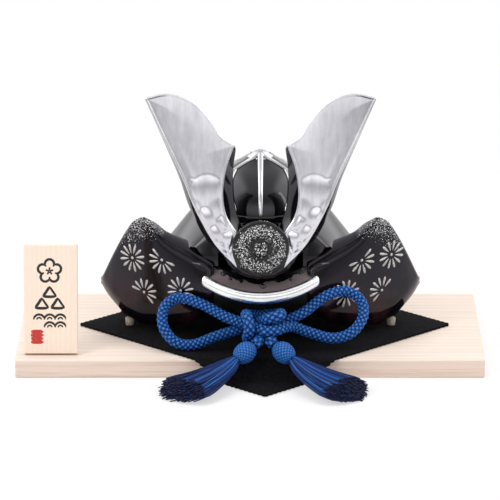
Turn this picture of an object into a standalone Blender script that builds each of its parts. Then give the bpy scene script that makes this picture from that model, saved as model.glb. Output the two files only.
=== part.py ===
"""Glazed ceramic samurai helmet ornament with a braided bow, on a felt cloth and a wooden board.

The frame: +X runs along the board to the viewer's right, +Y to the back and +Z up.
The origin is the middle of the board's underside. Blender units are metres.
"""
import math

import bmesh
import bpy
from mathutils import Matrix, Vector

MM = 0.001
GAP = 0.3 * MM

# Display board
BOARD_WIDTH = 300 * MM
BOARD_DEPTH = 150 * MM
BOARD_THICKNESS = 12 * MM
BOARD_EDGE_ROUNDING = 1.0 * MM

# Name plaque, which leans back on a small wooden prop
PLAQUE_WIDTH = 34.5 * MM
PLAQUE_HEIGHT = 70 * MM
PLAQUE_THICKNESS = 6 * MM
PLAQUE_EDGE_ROUNDING = 0.5 * MM
PLAQUE_LEAN_DEG = 10.0
PLAQUE_FROM_LEFT = 22.5 * MM
PLAQUE_FROM_FRONT = 9.5 * MM
PROP_WIDTH = 12 * MM
PROP_HEIGHT = 34 * MM
PROP_FOOT_DEPTH = 20 * MM
PROP_TOP_DEPTH = 6 * MM

# Felt cloth, a square laid corner to the front, which falls over the board's front and back
CLOTH_SIDE = 171.5 * MM
CLOTH_THICKNESS = 1.2 * MM
CLOTH_X = 9.5 * MM
CLOTH_FALL_RUN = 14 * MM
CLOTH_TIP_HALF_WIDTH = 0.6 * MM

# Helmet: bowl, neck guard, ear flaps and visor, one slip-cast shell on four small feet
HELMET_X = 6.8 * MM
HELMET_Y = 5 * MM
SHELL_WALL = 4 * MM
BOWL_HALF_WIDTH = 35 * MM
BOWL_HALF_DEPTH = 42 * MM
BOWL_RISE = 32.5 * MM
KNOB_RADIUS = 9 * MM
KNOB_RISE = 6.2 * MM
RIM_BEAD = 1.3 * MM
RIM_BEAD_LOW = 2 * MM
RIM_BEAD_HIGH = 4.6 * MM
BROW_RECESS = 3 * MM
BROW_HEIGHT = 36 * MM
BOWL_SEGMENTS = 48
GUARD_HALF_WIDTH = 87.5 * MM
GUARD_BACK_DEPTH = 65 * MM
GUARD_HEIGHT = 72 * MM
GUARD_FLARE = 1.5
GUARD_LAP = 7.2 * MM
GUARD_FRONT_HALF_WIDTH = 33 * MM
GUARD_FRONT_DROP = 19 * MM
FOOT_HEIGHT = 5.2 * MM
FOOT_RADIUS = 2.8 * MM
FOOT_TAPER = 0.85
FOOT_BACK_SPREAD = 45 * MM
FOOT_SIDE_ADVANCE = 9 * MM

# Ear flaps: the flap's face sweeps back from its inner edge to its outer corner
FLAP_THICKNESS = 6 * MM
FLAP_INNER_X = 30 * MM
FLAP_OUTER_X = 104.4 * MM
FLAP_ADVANCE = 49 * MM
FLAP_INNER_SLOPE = 0.27
FLAP_OUTER_SLOPE = 1.0
FLAP_COLUMNS = 26
FLAP_UNDERCUT = 2.2 * MM
FLAP_SWELL = 2.1 * MM
FLAP_SWELL_SPAN = 30 * MM
FLAP_THIN_LIP = 1.5 * MM
FLAP_LIP_FALL = 0.286
FLAP_EDGE_SHARE = 0.12

# Visor: its rim is a rounded lip that dips at the middle
VISOR_HALF_WIDTH = 36 * MM
VISOR_ADVANCE = 66 * MM
VISOR_END_ADVANCE = 54 * MM
VISOR_RIM_Z = 35.2 * MM
VISOR_END_RISE = 8 * MM
VISOR_RIM_HEIGHT = 7 * MM
VISOR_THICKNESS = 4 * MM
VISOR_BOW = 2.2
VISOR_ROOT_SHARE = 0.9
VISOR_ROLL_OUT = 0.8
VISOR_ROLL_NECK = 0.6
VISOR_ROOT_Z = 43.5 * MM

# Crest: two flat horns on a rounded shield, and a chrysanthemum rosette before it
CREST_ADVANCE = 57 * MM
CREST_THICKNESS = 9 * MM
SHIELD_RADIUS = 26 * MM
SHIELD_CENTRE_Z = 70.7 * MM
SHIELD_TOP_Z = 76 * MM
SHIELD_SETBACK = 0.4 * MM
SEAT_HALF_WIDTH = 18 * MM
ROSETTE_Z = 66.2 * MM
ROSETTE_BACKING_RADIUS = 18.3 * MM
ROSETTE_BACKING_DEPTH = 2.7 * MM
ROSETTE_RADIUS = 15.5 * MM
ROSETTE_DEPTH = 3.5 * MM
ROSETTE_BOSS_RADIUS = 4.3 * MM
# Turned section in shares of the radius and the depth: petals first, then the boss
ROSETTE_PETAL_SECTION = [(1.0, 0.0), (0.94, 0.7), (0.75, 1.0), (0.52, 0.65)]
ROSETTE_BOSS_SECTION = [(1.0, 0.55), (0.7, 1.1)]

# Braided cord bow and its two tassels
CORD_DIAMETER = 6.6 * MM
CORD_SAMPLES = 78
BOW_X = 9.1 * MM
TASSEL_SPREAD = 12.4 * MM
TASSEL_ADVANCE = 8 * MM
TASSEL_RISE = 5.8 * MM
TASSEL_HEAD_LENGTH = 16 * MM
TASSEL_HEAD_RADIUS = 6.7 * MM
TASSEL_SKIRT_LENGTH = 50 * MM
TASSEL_END_HALF_WIDTH = 17 * MM
TASSEL_END_HALF_HEIGHT = 5.2 * MM
TASSEL_NECK_HALF_WIDTH = 4 * MM
TASSEL_NECK_HALF_HEIGHT = 3.7 * MM
# Which way the right tassel leaves the knot, where its skirt bends and how fast it opens
TASSEL_HEADING = (0.70, -0.58, -0.42)
TASSEL_BEND_SHARE = 0.45
TASSEL_OPEN_SHARE = 0.8
TASSEL_OPENING = 0.8

# Heights that follow from the stack of board, cloth and feet
CLOTH_TOP = BOARD_THICKNESS + GAP + CLOTH_THICKNESS
FLOOR_Z = CLOTH_TOP + GAP
GUARD_BOTTOM = FLOOR_Z + FOOT_HEIGHT + GAP
GUARD_TOP = GUARD_BOTTOM + GUARD_HEIGHT

# Right flap outline as distance from the helmet's middle and height above the felt, in mm:
# the upper edge from the inner corner over the top corner to the outer one, then the lower edge
FLAP_UPPER_EDGE = [
    (30, 54.2), (42, 64.8), (51, 67.8), (61, 70.6), (67, 75.0), (75.5, 78.0), (82, 74.1),
    (86, 68.2), (91, 58.7), (96, 47.9), (101, 36.2), (104.4, 28.0),
]
FLAP_LOWER_EDGE = [
    (30, 26.0), (36, 16.0), (45, 10.0), (58, 7.0), (70, 5.1), (77, 3.8), (88.3, 7.5),
    (92, 11.1), (98, 16.6), (102.3, 21.6), (104.4, 26.0),
]
# The fold below the upper edge, above which the flap leans back as a lip
FLAP_FOLD = [
    (30, 47.5), (39.5, 50.7), (45.6, 53.9), (55.2, 57.8), (63, 62.4), (68.8, 68.5), (75.5, 76.0),
    (82, 72.6), (86, 66.7), (91, 57.2), (96, 46.4), (101, 34.9), (104.4, 27.5),
]

# Right horn outline in four smooth stretches between its corners, in the same measures,
# first round its face and then round its back
HORN_CREST_EDGE = [(73.3, 164.6), (58.7, 167.3), (42.9, 161.8), (32.1, 149.9), (25.8, 139.9), (17.0, 133.8)]
HORN_INNER_EDGE = [(17.0, 133.8), (22.8, 116.9), (24.8, 101.2), (22.5, 87.2), (15.7, 75.5)]
HORN_TAIL_EDGE = [(15.7, 75.5), (17.2, 62.9), (15.2, 53.1)]
HORN_OUTER_EDGE = [(15.2, 53.1), (29.5, 69.0), (41.2, 90.8), (49.1, 111.2), (60.5, 136.1), (73.3, 164.6)]
HORN_FACE = [HORN_CREST_EDGE, HORN_INNER_EDGE, HORN_TAIL_EDGE, HORN_OUTER_EDGE]
BACK_CREST_EDGE = [(73.5, 161.8), (58.4, 164.6), (44.1, 159.4), (34.0, 148.2), (27.3, 137.6), (15.6, 129.0)]
BACK_INNER_EDGE = [(15.6, 129.0), (17.3, 116.9), (17.4, 101.2), (15.6, 88.5), (12.0, 77.5)]
BACK_TAIL_EDGE = [(12.0, 77.5), (14.8, 62.3), (13.6, 51.5)]
BACK_OUTER_EDGE = [(13.6, 51.5), (32.6, 66.0), (44.9, 88.8), (52.0, 110.0), (62.4, 135.2), (73.5, 161.8)]
HORN_BACK = [BACK_CREST_EDGE, BACK_INNER_EDGE, BACK_TAIL_EDGE, BACK_OUTER_EDGE]

# Cord route in mm from the bow's middle, the board's front edge and the felt's top.
# It runs from the left tassel through the knot, round the right loop, back through the knot,
# round the left loop, over the knot's top and down its front to the right tassel.
CORD_ROUTE = [
    (-6.3, -3.0, 9.5), (-4.0, -1.0, 10.9), (-2.6, 6.5, 11.4), (2.0, 13.5, 12.5), (8.5, 18.0, 15.5),
    (16.0, 20.5, 19.5), (25.5, 21.5, 23.8), (39.5, 27.5, 32.9), (52.5, 32.5, 34.7), (62.0, 31.5, 28.9),
    (63.5, 26.0, 19.5), (56.0, 19.0, 11.0), (43.5, 16.5, 8.0), (27.5, 16.0, 12.5),
    (19.5, 14.5, 16.0), (13.5, 9.5, 17.5), (7.5, 3.8, 17.0), (1.0, 2.8, 17.0), (-4.5, 6.0, 17.7),
    (-11.0, 10.0, 19.3), (-24.5, 15.5, 22.5), (-40.0, 24.0, 28.5), (-54.5, 31.0, 30.7),
    (-64.0, 28.5, 25.0), (-64.8, 21.5, 14.5), (-57.0, 16.5, 5.5), (-45.5, 15.5, 4.0),
    (-30.5, 16.0, 9.5), (-16.0, 17.0, 14.0), (-8.0, 16.0, 17.0), (-2.0, 12.0, 20.5),
    (3.5, 5.8, 24.5), (9.0, 6.0, 26.0), (10.8, 12.5, 25.5), (8.0, 19.6, 23.5), (-3.0, 22.5, 21.5),
    (-9.6, 19.5, 22.8), (-11.7, 12.5, 25.0), (-10.6, 4.5, 24.8), (-9.5, 1.0, 20.5), (-10.1, 3.5, 14.5),
    (-10.6, 11.5, 9.3), (-6.5, 18.8, 6.7), (0.5, 19.8, 6.7), (4.4, 13.5, 7.4), (4.4, 5.5, 9.8),
    (4.0, -1.0, 10.9), (6.3, -3.0, 9.5),
]


def clear_scene():
    for item in list(bpy.data.objects):
        bpy.data.objects.remove(item, do_unlink=True)


def make_material(name, colour, roughness, metallic=0.0):
    material = bpy.data.materials.new(name)
    material.use_nodes = True
    shader = material.node_tree.nodes["Principled BSDF"]
    shader.inputs["Base Color"].default_value = (*colour, 1.0)
    shader.inputs["Roughness"].default_value = roughness
    shader.inputs["Metallic"].default_value = metallic
    material.diffuse_color = (*colour, 1.0)
    return material


def add_object(name, mesh_builder, material):
    """Turn a bmesh into a named object with its normals outward."""
    bmesh.ops.recalc_face_normals(mesh_builder, faces=mesh_builder.faces[:])
    mesh = bpy.data.meshes.new(name)
    mesh_builder.to_mesh(mesh)
    mesh_builder.free()
    item = bpy.data.objects.new(name, mesh)
    bpy.context.scene.collection.objects.link(item)
    mesh.materials.append(material)
    return item


def smooth_curve(points, steps):
    """Points along a Catmull-Rom curve through the given ones, each span cut in equal steps."""
    first = points[0] * 2 - points[1]
    last = points[-1] * 2 - points[-2]
    ends = [first, *points, last]
    result = []
    for index in range(1, len(ends) - 2):
        before, start, end, after = ends[index - 1:index + 3]
        for step in range(steps):
            t = step / steps
            result.append(
                0.5 * (
                    2 * start
                    + (end - before) * t
                    + (2 * before - 5 * start + 4 * end - after) * t ** 2
                    + (3 * start - before - 3 * end + after) * t ** 3
                )
            )
    result.append(points[-1])
    return result


def bridge_rings(builder, rings):
    """Join closed rings of equal length by quads."""
    for lower, upper in zip(rings, rings[1:]):
        count = len(lower)
        for index in range(count):
            following = (index + 1) % count
            builder.faces.new((lower[index], lower[following], upper[following], upper[index]))


def add_box(name, low, high, material, rounding=0.0):
    builder = bmesh.new()
    bmesh.ops.create_cube(builder, size=1.0)
    size = Vector(high) - Vector(low)
    middle = (Vector(high) + Vector(low)) / 2
    for vertex in builder.verts:
        vertex.co = Vector(a * b for a, b in zip(vertex.co, size)) + middle
    item = add_object(name, builder, material)
    if rounding:
        bevel = item.modifiers.new("Rounded edges", "BEVEL")
        bevel.width = rounding
        bevel.segments = 2
    return item


def make_guide(item):
    """A solid that only shapes another one."""
    item.hide_render = True
    item.display_type = "WIRE"
    return item


def join_solids(target, tools, operation="UNION"):
    for tool in tools:
        make_guide(tool)
        boolean = target.modifiers.new(tool.name, "BOOLEAN")
        boolean.operation = operation
        boolean.solver = "EXACT"
        boolean.object = tool


def prism(name, outline, back_outline, front_y, back_y, material):
    """Closed slab between a front outline and a back outline of (x, z) points."""
    builder = bmesh.new()
    front = [builder.verts.new((x, front_y, z)) for x, z in outline]
    back = [builder.verts.new((x, back_y, z)) for x, z in back_outline]
    builder.faces.new(front)
    builder.faces.new(back)
    bridge_rings(builder, [front, back])
    return add_object(name, builder, material)


def make_board(material):
    low = (-BOARD_WIDTH / 2, -BOARD_DEPTH / 2, 0)
    high = (BOARD_WIDTH / 2, BOARD_DEPTH / 2, BOARD_THICKNESS)
    add_box("display_board", low, high, material, BOARD_EDGE_ROUNDING)


def make_plaque(wood):
    """The plaque stands on its lower back edge and leans on a wedge-shaped prop."""
    lean = math.radians(PLAQUE_LEAN_DEG)
    centre_x = -BOARD_WIDTH / 2 + PLAQUE_FROM_LEFT
    contact_y = -BOARD_DEPTH / 2 + PLAQUE_FROM_FRONT + PLAQUE_THICKNESS * math.cos(lean)
    base_z = BOARD_THICKNESS + GAP
    plaque = add_box(
        "name_plaque",
        (-PLAQUE_WIDTH / 2, -PLAQUE_THICKNESS, 0),
        (PLAQUE_WIDTH / 2, 0, PLAQUE_HEIGHT),
        wood,
        PLAQUE_EDGE_ROUNDING,
    )
    plaque.location = (centre_x, contact_y, base_z)
    plaque.rotation_euler = (-lean, 0, 0)

    back_gap = GAP / math.cos(lean)
    slope = math.tan(lean)
    outline = [
        (contact_y + back_gap, base_z),
        (contact_y + back_gap + PROP_FOOT_DEPTH, base_z),
        (contact_y + back_gap + PROP_HEIGHT * slope + PROP_TOP_DEPTH, base_z + PROP_HEIGHT),
        (contact_y + back_gap + PROP_HEIGHT * slope, base_z + PROP_HEIGHT),
    ]
    builder = bmesh.new()
    sides = [
        [builder.verts.new((centre_x + side * PROP_WIDTH / 2, y, z)) for y, z in outline]
        for side in (-1, 1)
    ]
    builder.faces.new(sides[0])
    builder.faces.new(sides[1])
    bridge_rings(builder, sides)
    add_object("plaque_prop", builder, wood)


def cloth_profile():
    """Half of the cloth's side view: (arc length, distance from the middle, height) of its underside."""
    rest_z = BOARD_THICKNESS + GAP
    fall_start = BOARD_DEPTH / 2 + GAP
    drop = rest_z - GAP
    half_diagonal = CLOTH_SIDE / math.sqrt(2)
    samples = [(0.0, 0.0, rest_z), (fall_start, fall_start, rest_z)]
    steps = 12
    for step in range(1, steps + 1):
        fraction = step / steps
        distance = fall_start + CLOTH_FALL_RUN * fraction
        height = rest_z - drop * (1 - math.cos(math.pi * fraction)) / 2
        arc, last_distance, last_height = samples[-1]
        arc += math.hypot(distance - last_distance, height - last_height)
        samples.append((arc, distance, height))
    arc, distance, height = samples[-1]
    for share in (0.5, 1.0):
        reach = (half_diagonal - arc) * share
        samples.append((arc + reach, distance + reach, height))
    return samples


def make_cloth(material):
    half_diagonal = CLOTH_SIDE / math.sqrt(2)
    half = cloth_profile()
    rows = [(-arc, -distance, z) for arc, distance, z in reversed(half)] + half[1:]
    builder = bmesh.new()
    strips = []
    for index, (arc, y, z) in enumerate(rows):
        before = rows[max(index - 1, 0)]
        after = rows[min(index + 1, len(rows) - 1)]
        along = Vector((0, after[1] - before[1], after[2] - before[2])).normalized()
        normal = Vector((0, -along.z, along.y))
        half_width = max(half_diagonal - abs(arc), CLOTH_TIP_HALF_WIDTH)
        under = Vector((CLOTH_X, y, z))
        over = under + normal * CLOTH_THICKNESS
        side = Vector((half_width, 0, 0))
        strips.append([builder.verts.new(p) for p in (under - side, under + side, over + side, over - side)])
    bridge_rings(builder, strips)
    builder.faces.new(strips[0])
    builder.faces.new(strips[-1])
    add_object("felt_cloth", builder, material)


def bowl_shell(material):
    """Half-ellipsoid bowl with a knob and a rim bead, on a recessed brow band, open below."""
    base_z = GUARD_TOP
    low_z = base_z - BROW_HEIGHT
    segments = BOWL_SEGMENTS
    rows = 13
    builder = bmesh.new()

    def ring(half_width, half_depth, z):
        turn = 2 * math.pi / segments
        return [
            builder.verts.new(
                (HELMET_X + half_width * math.cos(turn * i), HELMET_Y + half_depth * math.sin(turn * i), z)
            )
            for i in range(segments)
        ]

    def skin(inset):
        width = BOWL_HALF_WIDTH - inset
        depth = BOWL_HALF_DEPTH - inset
        rise = BOWL_RISE - inset
        rings = []
        for outward, z in (
            (-BROW_RECESS, low_z),
            (-BROW_RECESS, base_z + RIM_BEAD_LOW / 2),
            (RIM_BEAD, base_z + RIM_BEAD_LOW),
            (RIM_BEAD, base_z + RIM_BEAD_HIGH),
        ):
            rings.append(ring(width + outward, depth + outward, z))
        first_angle = math.asin(RIM_BEAD_HIGH / rise)
        for row in range(1, rows):
            angle = first_angle + (math.pi / 2 - first_angle) * row / rows
            radius = (width + depth) / 2 * math.cos(angle)
            knob = KNOB_RISE * math.exp(-((radius / KNOB_RADIUS) ** 2))
            z = base_z + rise * math.sin(angle) + knob
            rings.append(ring(width * math.cos(angle), depth * math.cos(angle), z))
        apex = builder.verts.new((HELMET_X, HELMET_Y, base_z + rise + KNOB_RISE))
        bridge_rings(builder, rings)
        top = rings[-1]
        for index in range(segments):
            builder.faces.new((top[index], top[(index + 1) % segments], apex))
        return rings[0]

    outer_rim = skin(0.0)
    inner_rim = skin(SHELL_WALL)
    bridge_rings(builder, [outer_rim, inner_rim])
    bowl = add_object("helmet_body", builder, material)

    side = GUARD_HALF_WIDTH
    clear_back = add_box(
        "band_cutter",
        (HELMET_X - side, HELMET_Y - BOWL_HALF_DEPTH / 2, low_z - SHELL_WALL),
        (HELMET_X + side, HELMET_Y + side, base_z - SHELL_WALL),
        material,
    )
    join_solids(bowl, [clear_back], "DIFFERENCE")
    return bowl


def flap_face_y(distance):
    """Depth of the flap's front face at a distance from the helmet's middle."""
    span = FLAP_OUTER_X - FLAP_INNER_X
    run = distance - FLAP_INNER_X
    bend = (FLAP_OUTER_SLOPE - FLAP_INNER_SLOPE) / span
    return HELMET_Y - FLAP_ADVANCE + run * FLAP_INNER_SLOPE + bend * run * abs(run) / 2


def neck_guard(material):
    """Bell-shaped wall round the sides and back, whose front ends run into the ear flaps."""
    front_steps = 6
    back_steps = BOWL_SEGMENTS // 2
    rows = 7
    top_inset = SHELL_WALL / 2
    stations = [(-1, step / front_steps) for step in range(front_steps, 0, -1)]
    stations += [(0, step / back_steps) for step in range(back_steps + 1)]
    stations += [(1, step / front_steps) for step in range(1, front_steps + 1)]

    def point(station, fraction, inset):
        kind, progress = station
        flare = 1 - (1 - fraction) ** GUARD_FLARE
        top_x = BOWL_HALF_WIDTH - top_inset
        top_y = BOWL_HALF_DEPTH - top_inset
        half_width = top_x + (GUARD_HALF_WIDTH - top_x) * flare - inset
        half_depth = top_y + (GUARD_BACK_DEPTH - top_y) * flare - inset
        top_z = GUARD_TOP + GUARD_LAP
        if kind == 0:
            angle = math.pi * (1 - progress)
            x = half_width * math.cos(angle)
            y = HELMET_Y + half_depth * math.sin(angle)
        else:
            front_top = GUARD_FRONT_HALF_WIDTH
            front_width = front_top + (GUARD_HALF_WIDTH - front_top) * flare - inset
            width = half_width + (front_width - half_width) * progress
            top_z -= GUARD_FRONT_DROP * progress ** 2
            seat_y = flap_face_y(width) + FLAP_THICKNESS / 2
            x = kind * width
            y = HELMET_Y + (seat_y - HELMET_Y) * progress
        z = top_z + (GUARD_BOTTOM - top_z) * fraction
        return Vector((HELMET_X + x, y, z))

    builder = bmesh.new()
    sections = []
    for station in stations:
        outer = [builder.verts.new(point(station, row / rows, 0.0)) for row in range(rows + 1)]
        inner = [builder.verts.new(point(station, row / rows, SHELL_WALL)) for row in range(rows + 1)]
        sections.append(outer + inner[::-1])
    bridge_rings(builder, sections)
    for section in (sections[0], sections[-1]):
        for row in range(rows):
            builder.faces.new((section[row], section[row + 1], section[-2 - row], section[-1 - row]))
    return add_object("neck_guard_solid", builder, material)


def edge_height(edge, distance):
    """Height of an outline edge at a distance, read between its points."""
    spot = distance / MM
    for (x0, z0), (x1, z1) in zip(edge, edge[1:]):
        if spot <= x1:
            break
    share = min(max((spot - x0) / (x1 - x0), 0.0), 1.0)
    return (z0 + (z1 - z0) * share) * MM


def ear_flap(side, material):
    """Curved slab in the flap's kite-shaped outline; it swells at the middle and its lip leans back."""
    builder = bmesh.new()
    columns = []
    for step in range(FLAP_COLUMNS + 1):
        distance = FLAP_INNER_X + (FLAP_OUTER_X - FLAP_INNER_X) * step / FLAP_COLUMNS
        low = FLOOR_Z + edge_height(FLAP_LOWER_EDGE, distance)
        high = FLOOR_Z + edge_height(FLAP_UPPER_EDGE, distance)
        fold = FLOOR_Z + edge_height(FLAP_FOLD, distance)
        front = flap_face_y(distance)
        lean = max(FLAP_THIN_LIP, high - fold)
        high -= (lean - FLAP_THIN_LIP) * FLAP_LIP_FALL
        swell = FLAP_SWELL * min(1.0, (fold - low) / FLAP_SWELL_SPAN)
        x = HELMET_X + side * distance
        corners = [
            (front + FLAP_UNDERCUT, low),
            (front, low + (fold - low) * FLAP_EDGE_SHARE),
            (front - swell, (low + fold) / 2),
            (front, fold),
            (front + lean, high),
            (front + lean + FLAP_THICKNESS / 2, high - (high - low) * FLAP_EDGE_SHARE),
            (front + FLAP_THICKNESS, (low + fold) / 2),
            (front + FLAP_THICKNESS, low + (fold - low) * FLAP_EDGE_SHARE),
        ]
        columns.append([builder.verts.new((x, y, z)) for y, z in corners])
    bridge_rings(builder, columns)
    builder.faces.new(columns[0])
    builder.faces.new(columns[-1])
    return add_object("ear_flap_solid_left" if side < 0 else "ear_flap_solid_right", builder, material)


def visor(material):
    """Peak that slopes down from the bowl's front band to a rounded lip."""
    band_width = BOWL_HALF_WIDTH - BROW_RECESS
    band_depth = BOWL_HALF_DEPTH - BROW_RECESS
    steps = 24
    builder = bmesh.new()
    sections = []
    for step in range(steps + 1):
        across = -1 + 2 * step / steps
        rise = VISOR_END_RISE * across ** 2
        root_x = (band_width - SHELL_WALL) * VISOR_ROOT_SHARE * across
        root_y = HELMET_Y - band_depth * math.sqrt(1 - (root_x / band_width) ** 2) + SHELL_WALL / 2
        rim_y = HELMET_Y - VISOR_ADVANCE + (VISOR_ADVANCE - VISOR_END_ADVANCE) * abs(across) ** VISOR_BOW
        rim_z = FLOOR_Z + VISOR_RIM_Z + rise
        root_z = FLOOR_Z + VISOR_ROOT_Z + rise
        rim_x = VISOR_HALF_WIDTH * across
        lip = VISOR_RIM_HEIGHT / 2
        root = Vector((HELMET_X + root_x, root_y, root_z))
        rim = Vector((HELMET_X + rim_x, rim_y, rim_z))
        outward = Vector((rim.x - root.x, rim.y - root.y, 0)).normalized()
        up = Vector((0, 0, 1))
        roll_out = lip * VISOR_ROLL_OUT
        roll_neck = lip * VISOR_ROLL_NECK
        section = [root, rim - outward * roll_neck + up * roll_neck]
        section += [
            rim + outward * roll_out * math.cos(angle) + up * lip * math.sin(angle)
            for angle in (math.pi / 2, math.pi / 4, 0, -math.pi / 4, -math.pi / 2)
        ]
        section += [rim - outward * roll_out - up * roll_neck, root - up * VISOR_THICKNESS]
        sections.append([builder.verts.new(p) for p in section])
    bridge_rings(builder, sections)
    builder.faces.new(sections[0])
    builder.faces.new(sections[-1])
    return add_object("visor_solid", builder, material)


def make_helmet(material):
    body = bowl_shell(material)
    front = HELMET_Y - CREST_ADVANCE + CREST_THICKNESS + GAP
    seat_low = FLOOR_Z + VISOR_ROOT_Z
    seat = add_box(
        "crest_seat_solid",
        (HELMET_X - SEAT_HALF_WIDTH, front, seat_low),
        (HELMET_X + SEAT_HALF_WIDTH, HELMET_Y - BOWL_HALF_DEPTH + 2 * SHELL_WALL, FLOOR_Z + SHIELD_TOP_Z),
        material,
    )
    parts = [neck_guard(material), ear_flap(-1, material), ear_flap(1, material), visor(material), seat]
    join_solids(body, parts)
    return body


def make_feet(material):
    """Unglazed clay feet under the neck guard's rim."""
    mid_width = GUARD_HALF_WIDTH - SHELL_WALL / 2
    mid_depth = GUARD_BACK_DEPTH - SHELL_WALL / 2
    back_y = HELMET_Y + mid_depth * math.sqrt(1 - (FOOT_BACK_SPREAD / mid_width) ** 2)
    spots = {
        "foot_left": (-mid_width, HELMET_Y - FOOT_SIDE_ADVANCE),
        "foot_right": (mid_width, HELMET_Y - FOOT_SIDE_ADVANCE),
        "foot_back_left": (-FOOT_BACK_SPREAD, back_y),
        "foot_back_right": (FOOT_BACK_SPREAD, back_y),
    }
    for name, (x, y) in spots.items():
        builder = bmesh.new()
        bmesh.ops.create_cone(
            builder,
            cap_ends=True,
            segments=20,
            radius1=FOOT_RADIUS * FOOT_TAPER,
            radius2=FOOT_RADIUS,
            depth=FOOT_HEIGHT,
            matrix=Matrix.Translation((HELMET_X + x, y, FLOOR_Z + FOOT_HEIGHT / 2)),
        )
        add_object(name, builder, material)


def horn_outline(side, stretches):
    """Horn outline as (x, z) points, smooth along each of its stretches."""
    points = []
    for stretch in stretches:
        corners = [Vector((x * MM, z * MM)) for x, z in stretch]
        points += smooth_curve(corners, 3)[:-1]
    return [(HELMET_X + side * spot.x, FLOOR_Z + spot.y) for spot in points]


def make_crest(material):
    """Two horn slabs with slanting sides, joined to a rounded shield that seats on the bowl's front."""
    front = HELMET_Y - CREST_ADVANCE
    back = front + CREST_THICKNESS
    reach = math.acos((SHIELD_TOP_Z - SHIELD_CENTRE_Z) / SHIELD_RADIUS)
    turns = 24
    arc = [reach + (2 * math.pi - 2 * reach) * step / turns for step in range(turns + 1)]
    outline = [
        (HELMET_X + SHIELD_RADIUS * math.sin(a), FLOOR_Z + SHIELD_CENTRE_Z + SHIELD_RADIUS * math.cos(a))
        for a in arc
    ]
    shield = prism("crest_horns", outline, outline, front + SHIELD_SETBACK, back, material)
    horns = []
    for side, name in ((-1, "horn_solid_left"), (1, "horn_solid_right")):
        face = horn_outline(side, HORN_FACE)
        foot = horn_outline(side, HORN_BACK)
        horns.append(prism(name, face, foot, front, back - SHIELD_SETBACK, material))
    join_solids(shield, horns)


def make_rosette(material):
    """Turned flower disc on a round backing, flat at the back where it meets the crest."""
    back = HELMET_Y - CREST_ADVANCE - GAP
    backing_front = back - ROSETTE_BACKING_DEPTH
    profile = [(ROSETTE_BACKING_RADIUS, back), (ROSETTE_BACKING_RADIUS, backing_front)]
    turned = ((ROSETTE_RADIUS, ROSETTE_PETAL_SECTION), (ROSETTE_BOSS_RADIUS, ROSETTE_BOSS_SECTION))
    for outer, section in turned:
        profile += [(outer * share, backing_front - ROSETTE_DEPTH * height) for share, height in section]
    segments = 40
    builder = bmesh.new()
    rings = []
    for radius, y in profile:
        ring = []
        for index in range(segments):
            angle = 2 * math.pi * index / segments
            spot = (HELMET_X + radius * math.cos(angle), y, FLOOR_Z + ROSETTE_Z + radius * math.sin(angle))
            ring.append(builder.verts.new(spot))
        rings.append(ring)
    bridge_rings(builder, rings)
    builder.faces.new(rings[0])
    builder.faces.new(rings[-1])
    add_object("crest_rosette", builder, material)


def bow_origin():
    return Vector((BOW_X, -BOARD_DEPTH / 2, CLOTH_TOP))


def make_cord(material):
    """Round cord on a smooth curve through the route's points."""
    origin = bow_origin()
    route = [origin + Vector(spot) * MM for spot in CORD_ROUTE]
    fine = smooth_curve(route, 12)
    lengths = [0.0]
    for start, end in zip(fine, fine[1:]):
        lengths.append(lengths[-1] + (end - start).length)
    points = []
    cursor = 0
    for index in range(CORD_SAMPLES):
        wanted = lengths[-1] * index / (CORD_SAMPLES - 1)
        while cursor < len(lengths) - 2 and lengths[cursor + 1] < wanted:
            cursor += 1
        share = (wanted - lengths[cursor]) / (lengths[cursor + 1] - lengths[cursor])
        points.append(fine[cursor].lerp(fine[cursor + 1], share))
    curve = bpy.data.curves.new("bow_cord", "CURVE")
    curve.dimensions = "3D"
    curve.bevel_depth = CORD_DIAMETER / 2
    curve.bevel_resolution = 2
    curve.use_fill_caps = True
    spline = curve.splines.new("POLY")
    spline.points.add(CORD_SAMPLES - 1)
    for target, spot in zip(spline.points, points):
        target.co = (*spot, 1.0)
    item = bpy.data.objects.new("bow_cord", curve)
    bpy.context.scene.collection.objects.link(item)
    curve.materials.append(material)


def tassel_frame(side):
    """Head centre and the direction in which the tassel leaves the knot."""
    origin = bow_origin()
    centre = origin + Vector((side * TASSEL_SPREAD, -TASSEL_ADVANCE, TASSEL_RISE))
    across, forward, down = TASSEL_HEADING
    along = Vector((side * across, forward, down)).normalized()
    return centre, along


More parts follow.
